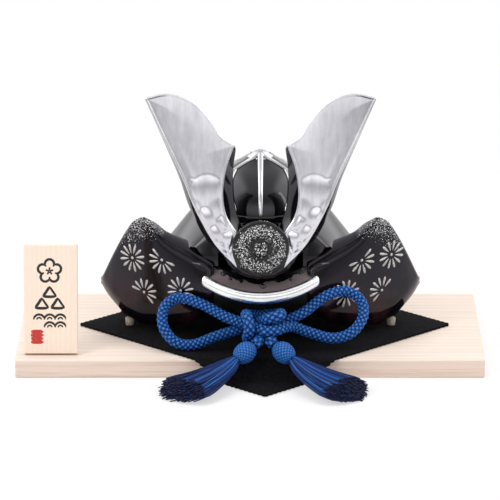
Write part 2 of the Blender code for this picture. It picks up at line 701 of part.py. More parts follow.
def make_tassel(side, word, head_material, skirt_material):
    centre, along = tassel_frame(side)
    builder = bmesh.new()
    bmesh.ops.create_uvsphere(builder, u_segments=20, v_segments=12, radius=TASSEL_HEAD_RADIUS)
    stretch = TASSEL_HEAD_LENGTH / (2 * TASSEL_HEAD_RADIUS)
    turn = along.to_track_quat("Z", "Y").to_matrix().to_4x4()
    bmesh.ops.scale(builder, vec=(1, 1, stretch), verts=builder.verts[:])
    bmesh.ops.transform(builder, matrix=Matrix.Translation(centre) @ turn, verts=builder.verts[:])
    add_object(f"tassel_head_{word}", builder, head_material)

    start = centre + along * (TASSEL_HEAD_LENGTH / 2 + GAP)
    sections = 7
    segments = 16
    landing = GAP * 2 + CLOTH_THICKNESS + TASSEL_END_HALF_HEIGHT + GAP
    flat = Vector((along.x, along.y, 0)).normalized()
    end = start + flat * TASSEL_SKIRT_LENGTH
    end.z = landing
    middle = start + along * (TASSEL_SKIRT_LENGTH * TASSEL_BEND_SHARE)
    builder = bmesh.new()
    rings = []
    for index in range(sections + 1):
        t = index / sections
        spot = start * (1 - t) ** 2 + middle * 2 * t * (1 - t) + end * t ** 2
        heading = ((middle - start) * (1 - t) + (end - middle) * t).normalized()
        across = heading.cross(Vector((0, 0, 1))).normalized()
        upward = across.cross(heading).normalized()
        opening = min(1.0, t / TASSEL_OPEN_SHARE) ** TASSEL_OPENING
        width = TASSEL_NECK_HALF_WIDTH + (TASSEL_END_HALF_WIDTH - TASSEL_NECK_HALF_WIDTH) * opening
        height = TASSEL_NECK_HALF_HEIGHT + (TASSEL_END_HALF_HEIGHT - TASSEL_NECK_HALF_HEIGHT) * opening
        ring = []
        for step in range(segments):
            angle = 2 * math.pi * step / segments
            ring.append(
                builder.verts.new(spot + across * width * math.cos(angle) + upward * height * math.sin(angle))
            )
        rings.append(ring)
    bridge_rings(builder, rings)
    builder.faces.new(rings[0])
    builder.faces.new(rings[-1])
    add_object(f"tassel_skirt_{word}", builder, skirt_material)


def build():
    clear_scene()
    wood = make_material("pale_wood", (0.87, 0.74, 0.58), 0.6)
    felt = make_material("black_felt", (0.012, 0.011, 0.013), 0.95)
    glaze = make_material("black_glaze", (0.02, 0.02, 0.024), 0.12)
    lustre = make_material("silver_lustre", (0.62, 0.62, 0.63), 0.25, 0.85)
    clay = make_material("bare_clay", (0.6, 0.52, 0.44), 0.75)
    braid = make_material("blue_braid", (0.02, 0.1, 0.35), 0.55)
    thread = make_material("navy_thread", (0.012, 0.05, 0.22), 0.6)

    make_board(wood)
    make_plaque(wood)
    make_cloth(felt)
    make_helmet(glaze)
    make_feet(clay)
    make_crest(lustre)
    make_rosette(glaze)
    make_cord(braid)
    for side, word in ((-1, "left"), (1, "right")):
        make_tassel(side, word, braid, thread)


build()
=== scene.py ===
"""Glazed ceramic samurai helmet ornament: a braided bow, a felt cloth and a pale wooden board."""
import math
import random

import bmesh
import bpy
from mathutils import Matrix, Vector


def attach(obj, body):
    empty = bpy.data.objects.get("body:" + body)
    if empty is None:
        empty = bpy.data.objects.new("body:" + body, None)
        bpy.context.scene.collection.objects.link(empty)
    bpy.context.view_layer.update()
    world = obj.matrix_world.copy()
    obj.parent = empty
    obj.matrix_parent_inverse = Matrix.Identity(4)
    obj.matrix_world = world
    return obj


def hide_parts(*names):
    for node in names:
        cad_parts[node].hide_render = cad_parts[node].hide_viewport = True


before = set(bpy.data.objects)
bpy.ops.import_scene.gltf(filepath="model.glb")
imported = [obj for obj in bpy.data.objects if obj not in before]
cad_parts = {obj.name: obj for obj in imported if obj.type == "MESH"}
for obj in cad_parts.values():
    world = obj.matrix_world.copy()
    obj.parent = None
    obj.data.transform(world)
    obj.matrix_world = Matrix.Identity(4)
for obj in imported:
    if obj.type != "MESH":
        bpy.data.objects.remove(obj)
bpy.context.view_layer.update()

MM = 0.001

# Camera: a long lens, level with the board's length and sixteen degrees above the table.
aim = Vector((0, 0, 63.6 * MM))
distance = 2.796
elevation = math.radians(15.95)
eye = bpy.data.cameras.new("photo_camera")
eye.sensor_width = 36.0
eye.lens = 308.9
eye.clip_end = 20.0
camera = bpy.data.objects.new("photo_camera", eye)
bpy.context.scene.collection.objects.link(camera)
camera.location = aim + distance * Vector((0, -math.cos(elevation), math.sin(elevation)))
camera.rotation_euler = (math.radians(90) - elevation, 0, 0)
bpy.context.scene.camera = camera


# Bow: one round cord of plaited blue rayon, tied in a butterfly bow with a doubled knot.
# It has ten strands, five each way, and each end goes into a tassel's head.
def feed(tree, slot, value):
    """Link a tone to an input, or give the input a plain value."""
    if isinstance(value, Tone):
        tree.links.new(value.socket, slot)
    elif slot.type == "RGBA":
        slot.default_value = (*value, 1.0)
    else:
        slot.default_value = value


class Tone:
    """One socket of a finish, so that masks and heights are written as sums."""

    def __init__(self, tree, socket):
        self.tree = tree
        self.socket = socket

    def combine(self, operation, left, right):
        """One sum of tones or plain numbers."""
        node = self.tree.nodes.new("ShaderNodeMath")
        node.operation = operation
        feed(self.tree, node.inputs[0], left)
        feed(self.tree, node.inputs[1], right)
        return Tone(self.tree, node.outputs[0])

    def __add__(self, other):
        return self.combine("ADD", self, other)

    def __sub__(self, other):
        return self.combine("SUBTRACT", self, other)

    def __rsub__(self, other):
        return self.combine("SUBTRACT", other, self)

    def __mul__(self, other):
        return self.combine("MULTIPLY", self, other)

    def __lt__(self, other):
        return self.combine("LESS_THAN", self, other)

    def ripple(self, count):
        """Waves from 0 to 1, so many to a unit."""
        return self.combine("SINE", self * (2 * math.pi * count), 0.0) * 0.5 + 0.5


class Finish:
    """A material on one Principled shader, whose nodes are added by name."""

    def __init__(self, name, **sockets):
        self.material = bpy.data.materials.new(name)
        self.material.use_nodes = True
        self.tree = self.material.node_tree
        self.shader = self.tree.nodes["Principled BSDF"]
        for label, value in sockets.items():
            self.put(label.replace("_", " "), value)

    def put(self, label, value):
        """Set or link one input of the shader."""
        feed(self.tree, self.shader.inputs[label], value)

    def node(self, kind, settings=None, values=None, output=0):
        """Add a node with its settings and values, and give one of its outputs."""
        node = self.tree.nodes.new("ShaderNode" + kind)
        for label, value in (settings or {}).items():
            setattr(node, label, value)
        for label, value in (values or {}).items():
            feed(self.tree, node.inputs[label], value)
        return Tone(self.tree, node.outputs[output])

    def place(self, scale=(1, 1, 1), source="Object", turn=(0, 0, 0)):
        """The surface's own coordinates, stretched and turned."""
        spot = self.node("TexCoord", output=source)
        return self.node("Mapping", {}, {"Vector": spot, "Scale": scale, "Rotation": turn})

    def noise(self, spot, scale, detail=3.0, roughness=0.5):
        """Cloudy noise at a spot, from 0 to 1."""
        values = {"Vector": spot, "Scale": scale, "Detail": detail, "Roughness": roughness}
        return self.node("TexNoise", {}, values, "Fac")

    def grain(self, scale, detail=3.0, roughness=0.5):
        """Noise that is the same in all directions."""
        return self.noise(self.place(), scale, detail, roughness)

    def ramp(self, factor, stops):
        """A colour that runs through the stops as the factor grows."""
        tone = self.node("ValToRGB", {}, {"Fac": factor}, "Color")
        elements = tone.socket.node.color_ramp.elements
        while len(elements) < len(stops):
            elements.new(1.0)
        for element, (spot, colour) in zip(elements, stops):
            element.position = spot
            element.color = (*colour, 1.0)
        return tone

    def limit(self, factor, low, high):
        """A soft step from 0 at the low value to 1 at the high one."""
        values = {"Value": factor, "From Min": low, "From Max": high}
        return self.node("MapRange", {"clamp": True, "interpolation_type": "SMOOTHSTEP"}, values, "Result")

    def blend(self, factor, first, second):
        """A colour that runs from the first to the second as the factor grows."""
        node = self.tree.nodes.new("ShaderNodeMix")
        node.data_type = "RGBA"
        for place, value in ((0, factor), (6, first), (7, second)):
            feed(self.tree, node.inputs[place], value)
        return Tone(self.tree, node.outputs[2])

    def parts(self, vector):
        """A vector's X, Y and Z."""
        node = self.node("SeparateXYZ", {}, {"Vector": vector}).socket.node
        return [Tone(self.tree, node.outputs[label]) for label in "XYZ"]

    def dots(self, spot, scale, share, size=0.36):
        """Round grains, one to a cell, in the given share of the cells."""
        cell = self.node("TexVoronoi", {}, {"Vector": spot, "Scale": scale}, "Distance")
        chance = self.parts(Tone(self.tree, cell.socket.node.outputs["Color"]))[0]
        return self.limit(size - cell, 0.0, 0.14) * (chance < share)

    def bump(self, height, depth, strength=1.0):
        """Relief on the surface, as deep as given where the height is 1."""
        values = {"Height": height, "Distance": depth, "Strength": strength}
        self.put("Normal", self.node("Bump", {}, values, "Normal"))


def paint(red, green, blue):
    """A colour as seen on a screen, from 0 to 255, in the renderer's linear values."""
    return tuple(((value / 255 + 0.055) / 1.055) ** 2.4 if value > 10 else value / 255 / 12.92
                 for value in (red, green, blue))


def new_piece(name, points, faces, *finishes):
    """A smooth-shaded mesh with its finishes."""
    mesh = bpy.data.meshes.new(name)
    mesh.from_pydata(points, [], faces)
    piece = bpy.data.objects.new(name, mesh)
    bpy.context.scene.collection.objects.link(piece)
    for finish in finishes:
        mesh.materials.append(finish.material)
    for face in mesh.polygons:
        face.use_smooth = True
    return piece


def band(rings, around, first=0, inward=False):
    """Faces between closed rings of so many spots each, which follow one another in a mesh."""
    faces = []
    for ring in range(rings - 1):
        for step in range(around):
            here = first + ring * around + step
            beside = first + ring * around + (step + 1) % around
            if inward:
                faces.append((here, here + around, beside + around, beside))
            else:
                faces.append((here, beside, beside + around, here + around))
    return faces


def easy_curve(points, steps):
    """A smooth line through the given points, with so many steps between each two."""
    ends = [points[0] * 2 - points[1], *points, points[-1] * 2 - points[-2]]
    line = []
    for before, start, end, after in zip(ends, ends[1:], ends[2:], ends[3:]):
        for step in range(steps):
            t = step / steps
            line.append(0.5 * (2 * start + (end - before) * t
                               + (2 * before - 5 * start + 4 * end - after) * t ** 2
                               + (3 * start - before - 3 * end + after) * t ** 3))
    line.append(points[-1])
    return line


def even_walk(line, count):
    """Points at equal steps along a line."""
    lengths = [0.0]
    for start, end in zip(line, line[1:]):
        lengths.append(lengths[-1] + (end - start).length)
    walk = []
    cursor = 0
    for index in range(count):
        wanted = lengths[-1] * index / (count - 1)
        while cursor < len(lengths) - 2 and lengths[cursor + 1] < wanted:
            cursor += 1
        share = (wanted - lengths[cursor]) / (lengths[cursor + 1] - lengths[cursor])
        walk.append(line[cursor].lerp(line[cursor + 1], share))
    return walk


def line_length(line):
    """Length of a line through all its spots."""
    return sum((end - start).length for start, end in zip(line, line[1:]))


bow_middle = Vector((9.1, -75.0, 13.5)) * MM
cord_width = 6.6 * MM
strands = 5
plait_step = 3.3 * MM
core_share = 0.80
strand_share = 0.29
cord_route = [
    (-6.3, -3.0, 9.5), (-4.0, -1.0, 10.9), (-2.6, 6.5, 11.4), (2.0, 13.5, 12.5), (8.5, 18.0, 15.5),
    (16.0, 20.5, 19.5), (25.5, 21.5, 23.8), (39.5, 27.5, 32.9), (52.5, 32.5, 34.7), (62.0, 31.5, 28.9),
    (63.5, 26.0, 19.5), (56.0, 19.0, 11.0), (43.5, 16.5, 8.0), (27.5, 16.0, 12.5),
    (19.5, 14.5, 16.0), (13.5, 9.5, 17.5), (7.5, 3.8, 17.0), (1.0, 2.8, 17.0), (-4.5, 6.0, 17.7),
    (-11.0, 10.0, 19.3), (-24.5, 15.5, 22.5), (-40.0, 24.0, 28.5), (-54.5, 31.0, 30.7),
    (-64.0, 28.5, 25.0), (-64.8, 21.5, 14.5), (-57.0, 16.5, 5.5), (-45.5, 15.5, 4.0),
    (-30.5, 16.0, 9.5), (-16.0, 17.0, 14.0), (-8.0, 16.0, 17.0), (-2.0, 12.0, 20.5),
    (3.5, 5.8, 24.5), (9.0, 6.0, 26.0), (10.8, 12.5, 25.5), (8.0, 19.6, 23.5), (-3.0, 22.5, 21.5),
    (-9.6, 19.5, 22.8), (-11.7, 12.5, 25.0), (-10.6, 4.5, 24.8), (-9.5, 1.0, 20.5), (-10.1, 3.5, 14.5),
    (-10.6, 11.5, 9.3), (-6.5, 18.8, 6.7), (0.5, 19.8, 6.7), (4.4, 13.5, 7.4), (4.4, 5.5, 9.8),
    (4.0, -1.0, 10.9), (6.3, -3.0, 9.5),
]
cord_points = [bow_middle + Vector(spot) * MM for spot in cord_route]


def plait(turn, run, count=strands):
    """Relief of the plait from 0 in its pockets to 1 on a strand, and which way that strand lies."""
    one = count * turn + run
    other = count * turn - run
    across_one = one % 1.0 - 0.5
    across_other = other % 1.0 - 0.5
    if (math.floor(one) + math.floor(other)) % 2:
        across, along = across_one, across_other
        lie = 1.0
    else:
        across, along = across_other, across_one
        lie = 0.0
    round_top = math.sqrt(max(0.0, 1 - (across * 2.2) ** 2))
    return round_top * (math.cos(math.pi * along * 0.84) ** 0.6), lie


def mark_plait(piece, relief, lies):
    """Keep the plait's relief and lie on the piece's points, for the painted shade in its pockets and the
    painted highlight on its strands.
    """
    for label, values in (("plait_shade", relief), ("lie", lies)):
        layer = piece.data.attributes.new(label, "FLOAT", "POINT")
        layer.data.foreach_set("value", values)


def braided_cord(name, points, finish):
    """The cord along its route, with its plait as relief, and its length."""
    around = 56
    line = easy_curve(points, 12)
    length = line_length(line)
    walk = even_walk(line, 1180)
    verts = []
    relief = []
    lies = []
    side = (walk[1] - walk[0]).normalized().orthogonal().normalized()
    for index, spot in enumerate(walk):
        ahead = walk[min(index + 1, len(walk) - 1)] - walk[max(index - 1, 0)]
        ahead.normalize()
        side = (side - ahead * side.dot(ahead)).normalized()
        up = ahead.cross(side)
        run = length * index / (len(walk) - 1) / plait_step
        for step in range(around):
            turn = step / around
            height, lie = plait(turn, run)
            relief.append(height)
            lies.append(lie)
            radius = cord_width / 2 * (core_share + strand_share * height)
            angle = 2 * math.pi * turn
            verts.append(spot + (side * math.cos(angle) + up * math.sin(angle)) * radius)
    faces = band(len(walk), around)
    last = (len(walk) - 1) * around
    faces.append(tuple(range(around))[::-1])
    faces.append(tuple(range(last, last + around)))
    piece = new_piece(name, verts, faces, finish)
    mark_plait(piece, relief, lies)
    layer = piece.data.uv_layers.new(name="plait")
    for face in piece.data.polygons:
        for loop in face.loop_indices:
            vertex = piece.data.loops[loop].vertex_index
            step = vertex % around
            if step == 0 and any(piece.data.loops[other].vertex_index % around == around - 1
                                 for other in face.loop_indices):
                step = around
            run = length * (vertex // around) / (len(walk) - 1) / plait_step
            layer.data[loop].uv = (strands * step / around, run)
    return piece, length


braid = Finish("blue_rayon_braid", Roughness=0.42, IOR=1.32)
on_plait = braid.node("TexCoord", output="UV")
plait_shade = braid.node("Attribute", {"attribute_name": "plait_shade"}, output="Fac")
lie = braid.node("Attribute", {"attribute_name": "lie"}, output="Fac")
plait_u, plait_v = braid.parts(on_plait)[:2]
across_strand = (plait_u + plait_v) * lie + (plait_u - plait_v) * (1 - lie)
strand_threads = across_strand.ripple(5)
strand_noise = braid.noise(braid.place((2.0, 2.0, 1), "UV"), 1.0, 2.0)
# The plait's relief sets painted shade in the pockets and a painted highlight on the strand tops; the thread
# lines and noise add the yarn's own tone.
cord_blue_and_painted_shade = braid.ramp(plait_shade * 0.74 + strand_threads * 0.12 + strand_noise * 0.14, [
    (0.15, paint(3, 10, 36)), (0.42, paint(8, 46, 110)),
    (0.70, paint(20, 90, 172)), (0.93, paint(84, 152, 222)),
])
braid.put("Base Color", cord_blue_and_painted_shade)
braid.bump(strand_threads, 0.0003, 0.55)
bow_cord, bow_length = braided_cord("plaited_bow", cord_points, braid)

# Tassels: each cord end goes into a ball covered with a finer plait, and from it a skirt of
# cut rayon threads fans out, falls over the board's edge and rests on the cloth's corner.
head_long = 16.0 * MM
head_thick = 6.7 * MM
head_strands = 13
head_rows = 10.7
skirt_long = 50.0 * MM
skirt_spread = 18.4 * MM
skirt_rise = 5.2 * MM
skirt_end_height = 5.8 * MM
skirt_threads = 640
golden_turn = 2.39996


def tassel_line(side):
    """Middle of a tassel's head and the way its skirt leaves it."""
    centre = bow_middle + Vector((side * 12.4, -8.0, 5.8)) * MM
    along = Vector((side * 0.70, -0.58, -0.42)).normalized()
    return centre, along


def plaited_ball(name, side, finish):
    """The ball: a fine plait round a core, drawn in to the cord and to the skirt."""
    centre, along = tassel_line(side)
    bpy.ops.object.select_all(action="DESELECT")
    bpy.ops.mesh.primitive_uv_sphere_add(segments=144, ring_count=90, radius=head_thick)
    ball = bpy.context.object
    ball.name = name
    turn = along.to_track_quat("Z", "Y").to_matrix()
    relief = []
    lies = []
    for vertex in ball.data.vertices:
        spot = vertex.co.copy()
        share = spot.z / head_thick
        around = math.atan2(spot.y, spot.x) / (2 * math.pi)
        height, lie = plait(around, math.asin(max(-1.0, min(1.0, share))) * 3.4, head_strands)
        # This relief feeds the braid's painted shade in the pockets and painted highlight on the strands.
        relief.append(0.35 + 0.65 * height)
        lies.append(lie)
        thread = 0.96 + 0.05 * height
        neck = 1 - 0.22 * max(0.0, share - 0.55) ** 1.5
        spot = Vector((spot.x * thread * neck, spot.y * thread * neck, share * head_long / 2 * 1.04))
        vertex.co = centre + turn @ spot
    mark_plait(ball, relief, lies)
    for spot in ball.data.uv_layers.active.data:
        spot.uv = (spot.uv[0] * head_strands, spot.uv[1] * head_rows)
    ball.data.materials.append(finish.material)
    bpy.ops.object.shade_smooth()
    ball.select_set(False)
    return ball


def tassel_skirt(name, side, finish, seed):
    """The skirt: single threads that leave the head together, spread and fall on a soft bend."""
    chance = random.Random(seed)
    centre, along = tassel_line(side)
    start = centre + along * (head_long / 2 - 0.6 * MM)
    flat = Vector((along.x, along.y, 0)).normalized()
    end = start + flat * skirt_long
    end.z = skirt_end_height
    middle = start + along * skirt_long * 0.45
    neck_wide = head_thick * 0.62
    neck_high = head_thick * 0.6
    rings = 15
    sides = 4
    verts = []
    faces = []
    shades = []
    for thread in range(skirt_threads):
        radius = math.sqrt((thread + 0.5) / skirt_threads)
        angle = thread * golden_turn
        level = radius * math.sin(angle)
        spread = radius * math.cos(angle)
        reach = 0.95 - 0.13 * level + chance.uniform(-0.03, 0.03) + 0.03 * math.sin(3 * spread + 1)
        wave = chance.uniform(0, 6.28)
        wander = chance.uniform(0.2, 0.75) * MM
        lock = 0.5 + 0.5 * math.sin(spread * 33 + 4.0 * math.sin(level * 3 + spread * 5))
        tint = 0.4 * lock + 0.6 * chance.random()
        thick = chance.uniform(0.30, 0.42) * MM
        for ring in range(rings):
            t = reach * ring / (rings - 1)
            spot = start * (1 - t) ** 2 + middle * 2 * t * (1 - t) + end * t ** 2
            heading = ((middle - start) * (1 - t) + (end - middle) * t).normalized()
            across = heading.cross(Vector((0, 0, 1))).normalized()
            upward = across.cross(heading).normalized()
            opening = min(1.0, t * 1.25) ** 0.8
            width = neck_wide + (skirt_spread - neck_wide) * opening
            height = neck_high + (skirt_rise - neck_high) * opening
            tuck = min(1.0, 0.75 + t * 1.6)
            sway = wander * t * math.sin(wave + t * 7)
            near = 1 + 0.22 * t * max(0.0, side * spread)
            place = (spot + across * (width * 0.97 * spread * near * tuck + sway)
                     + upward * (height * 0.95 * level * tuck + sway * 0.5))
            for corner in range(sides):
                turn = math.pi / 2 * corner + wave
                verts.append(place + (across * math.cos(turn) + upward * math.sin(turn)) * thick)
                shades.append((tint, t / reach))
        base = thread * rings * sides
        tip = base + (rings - 1) * sides
        faces += band(rings, sides, base, inward=True)
        faces += [tuple(range(base, base + sides)), tuple(range(tip, tip + sides))[::-1]]
    piece = new_piece(name, verts, faces, finish)
    layer = piece.data.uv_layers.new(name="thread")
    for loop in piece.data.loops:
        layer.data[loop.index].uv = shades[loop.vertex_index]
    return piece


rayon = Finish("navy_rayon_threads", Roughness=0.4, IOR=1.28)
tint_part, run_part = rayon.parts(rayon.node("TexCoord", output="UV"))[:2]
dyed = rayon.ramp(tint_part, [
    (0.1, paint(6, 14, 46)), (0.4, paint(9, 34, 86)),
    (0.65, paint(16, 60, 132)), (0.9, paint(48, 108, 184)),
])
# The last few per cent of each thread are painted darker, as painted shade on the skirt's cut end.
painted_end_shade = rayon.limit(run_part, 0.94, 0.98)
rayon.put("Base Color", rayon.blend(painted_end_shade, dyed, paint(10, 14, 50)))
rayon.bump(rayon.grain(2600.0, 2.0), 0.0002, 0.3)

tassel_pieces = []
for tassel_side, tassel_word in ((-1, "left"), (1, "right")):
    ball = plaited_ball("tassel_ball_" + tassel_word, tassel_side, braid)
    fringe = tassel_skirt("tassel_fringe_" + tassel_word, tassel_side, rayon, 11 + tassel_side)
    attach(ball, "root")
    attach(fringe, "root")
    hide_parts("tassel_head_" + tassel_word)
    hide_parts("tassel_skirt_" + tassel_word)
    tassel_pieces += [ball, fringe]

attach(bow_cord, "root")
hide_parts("bow_cord")

# Display board: one plank of pale unfinished pine, sawn, planed and softly rounded along
# its edges. Its grain runs along the front.
pine = Finish("pale_pine", Roughness=0.62)
drift = pine.noise(pine.place((3.0, 22.0, 22.0)), 3.0, 3.0)
rings_across = pine.node(
    "TexWave", {"bands_direction": "Y", "wave_profile": "SAW"},
    {"Vector": pine.place((1.2, 30, 22)), "Scale": 1.5, "Distortion": 4.5, "Detail": 3.0,
     "Detail Scale": 0.6, "Detail Roughness": 0.6}, "Fac")
fibres = pine.noise(pine.place((14, 900, 900)), 1.0, 4.0, 0.65)
early = pine.blend(drift, paint(244, 233, 224), paint(233, 217, 204))
late = pine.blend(rings_across * 0.34, early, paint(216, 190, 170))
# Faces that tilt away from the top are painted darker and warmer, as painted shade on the board's edges; the
# grain streaks grow stronger there too.
facing = pine.parts(pine.node("NewGeometry", output="Normal"))[2]
painted_side_shade = pine.limit(1 - facing, 0.4, 0.9)
pine_and_side_shade = pine.blend(painted_side_shade * 0.5, late, paint(218, 192, 176))
long_pores = pine.noise(pine.place((9, 420, 420)), 1.0, 4.0, 0.7)
streaks = pine.limit(long_pores, 0.44, 0.62) * (painted_side_shade * 0.4 + 0.16)
pine.put("Base Color", pine.blend(streaks, pine_and_side_shade, paint(202, 170, 148)))
pine.bump(fibres + rings_across * 0.15, 0.00025, 0.35)
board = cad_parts["display_board"]
for piece_slot in board.material_slots:
    piece_slot.material = pine.material

# Plaque: a small upright slab of the same pine that leans back on a wedge of pine. Its face
# carries brushed ornaments in black ink and a small red square, set on the solid's own face.
slab = Finish("plaque_pine", Roughness=0.6)
slab_drift = slab.noise(slab.place((40.0, 40.0, 4.0)), 1.0, 3.0)
slab_rings = slab.node(
    "TexWave", {"bands_direction": "X", "wave_profile": "SAW"},
    {"Vector": slab.place((60, 40, 2.0)), "Scale": 1.7, "Distortion": 3.0, "Detail": 2.0,
     "Detail Scale": 0.5}, "Fac")
slab_fibres = slab.noise(slab.place((900, 900, 16)), 1.0, 4.0, 0.6)
slab_tone = slab.blend(slab_drift, paint(247, 229, 213), paint(241, 219, 201))
slab_late = slab.blend(slab_rings * 0.18, slab_tone, paint(226, 196, 172))
slab_pores = slab.limit(slab_fibres, 0.5, 0.8) * 0.2
slab.put("Base Color", slab.blend(slab_pores, slab_late, paint(222, 192, 160)))
slab.bump(slab_fibres, 0.0002, 0.3)
for slab_node in ("name_plaque", "plaque_prop"):
    for piece_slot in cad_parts[slab_node].material_slots:
        piece_slot.material = slab.material

ink = Finish("brushed_ink", Roughness=0.55)
ink.put("Base Color", ink.ramp(ink.grain(260.0, 3.0), [
    (0.35, paint(14, 13, 14)), (0.7, paint(34, 32, 33)),
]))
seal_red = Finish("seal_red", Roughness=0.6)
seal_red.put("Base Color", seal_red.ramp(seal_red.grain(900.0, 3.0), [
    (0.35, paint(178, 40, 34)), (0.7, paint(206, 66, 54)),
]))
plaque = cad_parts["name_plaque"]
plaque_fronts = [face for face in plaque.data.polygons if face.normal.y < -0.5]
plaque_face = max(plaque_fronts, key=lambda face: face.area)
plaque_normal = (plaque.matrix_world.to_3x3() @ plaque_face.normal).normalized()
plaque_corners = [plaque.matrix_world @ plaque.data.vertices[index].co for index in plaque_face.vertices]
plaque_foot = min(corner.z for corner in plaque_corners)
low_corners = [spot for spot in plaque_corners if spot.z < plaque_foot + 3 * MM]
plaque_origin = sum(low_corners, Vector()) / len(low_corners)
plaque_up = plaque_normal.cross(Vector((1, 0, 0))).normalized()
plaque_up *= math.copysign(1, plaque_up.z)


def on_plaque(u, v, lift):
    """Spot on the plaque: mm across from its middle, mm up from its foot and mm off its face."""
    return plaque_origin + (Vector((u, 0, 0)) + plaque_up * v + plaque_normal * lift) * MM


def ink_stroke(verts, faces, spots, width):
    """One pull of the brush through the spots, full in its middle and drawn out at its ends."""
    steps = 26
    walk = even_walk(easy_curve([Vector((u, v, 0)) for u, v in spots], 8), steps + 1)
    first = len(verts)
    for index, spot in enumerate(walk):
        ahead = walk[min(index + 1, steps)] - walk[max(index - 1, 0)]
        side = Vector((-ahead.y, ahead.x, 0)).normalized()
        t = index / steps
        full = min(1.0, 0.55 + 2.4 * t, 0.25 + 3.6 * (1 - t))
        half = width / 2 * full * (1 + 0.07 * math.sin(index * 2.1 + spot.y))
        for share, lift in ((-1.0, -0.02), (-0.8, 0.1), (0.8, 0.1), (1.0, -0.02)):
            place = spot + side * (half * share)
            verts.append(on_plaque(place.x, place.y, lift))
    for index in range(steps):
        for row in range(3):
            low = first + index * 4 + row
            faces.append((low, low + 4, low + 5, low + 1))


def arc_spots(u, v, radius, start, end):
    """Spots along an arc, whose angles are in degrees from the right."""
    angles = [math.radians(start + (end - start) * step / 8) for step in range(9)]
    return [(u + radius * math.cos(angle), v + radius * math.sin(angle)) for angle in angles]


def brushed_ornament(finish):
    """A plum blossom, three scales and two rows of waves, one above the other."""
    verts = []
    faces = []
    middle_u = -0.6
    blossom_v = 52.6
    for petal in range(5):
        out = 90 + 72 * petal
        turn = math.radians(out)
        spots = [(middle_u + reach * math.cos(turn), blossom_v + reach * math.sin(turn))
                 for reach in (4.7, 0.2, 1.4, 2.6)]
        ink_stroke(verts, faces, arc_spots(*spots[0], 2.9, out - 128, out + 128), 1.7)
        ink_stroke(verts, faces, spots[1:], 1.2)
    for u, v in ((middle_u, 39.0), (middle_u - 5.0, 31.6), (middle_u + 5.2, 31.6)):
        ink_stroke(verts, faces, [(u - 4.4, v - 2.6), (u, v - 2.9), (u + 4.4, v - 2.6)], 1.9)
        ink_stroke(verts, faces, [(u - 4.2, v - 2.4), (u - 2.0, v + 0.6), (u + 0.1, v + 4.0)], 1.9)
        ink_stroke(verts, faces, [(u + 4.2, v - 2.4), (u + 2.0, v + 0.6), (u, v + 3.8)], 1.5)
    for row, v in enumerate((22.6, 17.6)):
        for column in range(row, 3):
            u = -7.4 + 6.8 * column
            ink_stroke(verts, faces, arc_spots(u, v - 1.4, 3.5, 176, 4), 1.5)
            ink_stroke(verts, faces, arc_spots(u, v - 1.4, 1.5, 176, 4), 1.1)
    return new_piece("brushed_ornament", verts, faces, finish)


def red_square(finish):
    """A plain stamped square with softly worn edges."""
    verts = []
    faces = []
    for row in range(4):
        v = 7.0 + 2.2 * row
        worn = 0.15 * math.sin(row * 2.3)
        ink_stroke(verts, faces, [(-12.6 + worn, v), (-8.6, v), (-4.6 - worn, v)], 2.7)
    return new_piece("red_square", verts, faces, finish)


for inked in (brushed_ornament(ink), red_square(seal_red)):
    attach(inked, "root")

# Felt cloth: a square of black pressed wool, cut with pinking shears so that its edges are
# small teeth. It lies corner to the front and falls over the board's front and back edges.
felt_side = 171.5 * MM
felt_thick = 1.2 * MM
felt_middle = 9.5 * MM
felt_under = 12.3 * MM
felt_cells = 86
tooth_half = 0.45 * MM
board_half = 75.3 * MM
fall_run = 14.0 * MM
fall_drop = 12.0 * MM


def thicken(piece, thickness, offset=-1.0):
    """Give an open skin its wall, on its inner side unless another offset is given."""
    bpy.ops.object.select_all(action="DESELECT")
    piece.select_set(True)
    bpy.context.view_layer.objects.active = piece
    wall = piece.modifiers.new("Wall", "SOLIDIFY")
    wall.thickness = thickness
    wall.offset = offset
    bpy.ops.object.modifier_apply(modifier=wall.name)


def felt_drop(reach):
    """Where a spot of the cloth lies: its distance from the middle and how far it has fallen."""
    distance = abs(reach)
    arc = board_half
    if distance <= arc:
        return distance, 0.0
    step = 0.25 * MM
    run = 0.0
    fallen = 0.0
    while arc < distance and run < fall_run:
        run += step
        now = fall_drop * (1 - math.cos(math.pi * run / fall_run)) / 2
        arc += math.hypot(step, now - fallen)
        fallen = now
    return board_half + run + max(0.0, distance - arc), fallen


def pinked_felt(finish):
    """The cloth as one thin sheet that lies on the board and falls over its edges."""
    cells = felt_cells
    bpy.ops.object.select_all(action="DESELECT")
    bpy.ops.mesh.primitive_grid_add(x_subdivisions=cells, y_subdivisions=cells, size=1)
    cloth = bpy.context.object
    cloth.name = "pinked_felt"
    chance = random.Random(4)
    for vertex in cloth.data.vertices:
        column = round((vertex.co.x + 0.5) * cells)
        row = round((vertex.co.y + 0.5) * cells)
        u = felt_side * (column / cells - 0.5)
        v = felt_side * (row / cells - 0.5)
        if column in (0, cells):
            u += (1 if column else -1) * (tooth_half if row % 2 else -tooth_half)
        if row in (0, cells):
            v += (1 if row else -1) * (tooth_half if column % 2 else -tooth_half)
        x = (u - v) / math.sqrt(2)
        reach = (u + v) / math.sqrt(2)
        distance, fallen = felt_drop(reach)
        past_edge = max(0.0, abs(reach) - board_half) / board_half
        ripple = 0.12 * MM * chance.random() + 0.5 * MM * (math.sin(x * 60) * 0.5 + 0.5) * past_edge
        vertex.co = (felt_middle + x, math.copysign(distance, reach), felt_under - fallen + ripple)
    cloth.data.materials.append(finish.material)
    thicken(cloth, felt_thick, 1.0)
    bpy.ops.object.shade_smooth_by_angle(angle=math.radians(50))
    cloth.select_set(False)
    return cloth


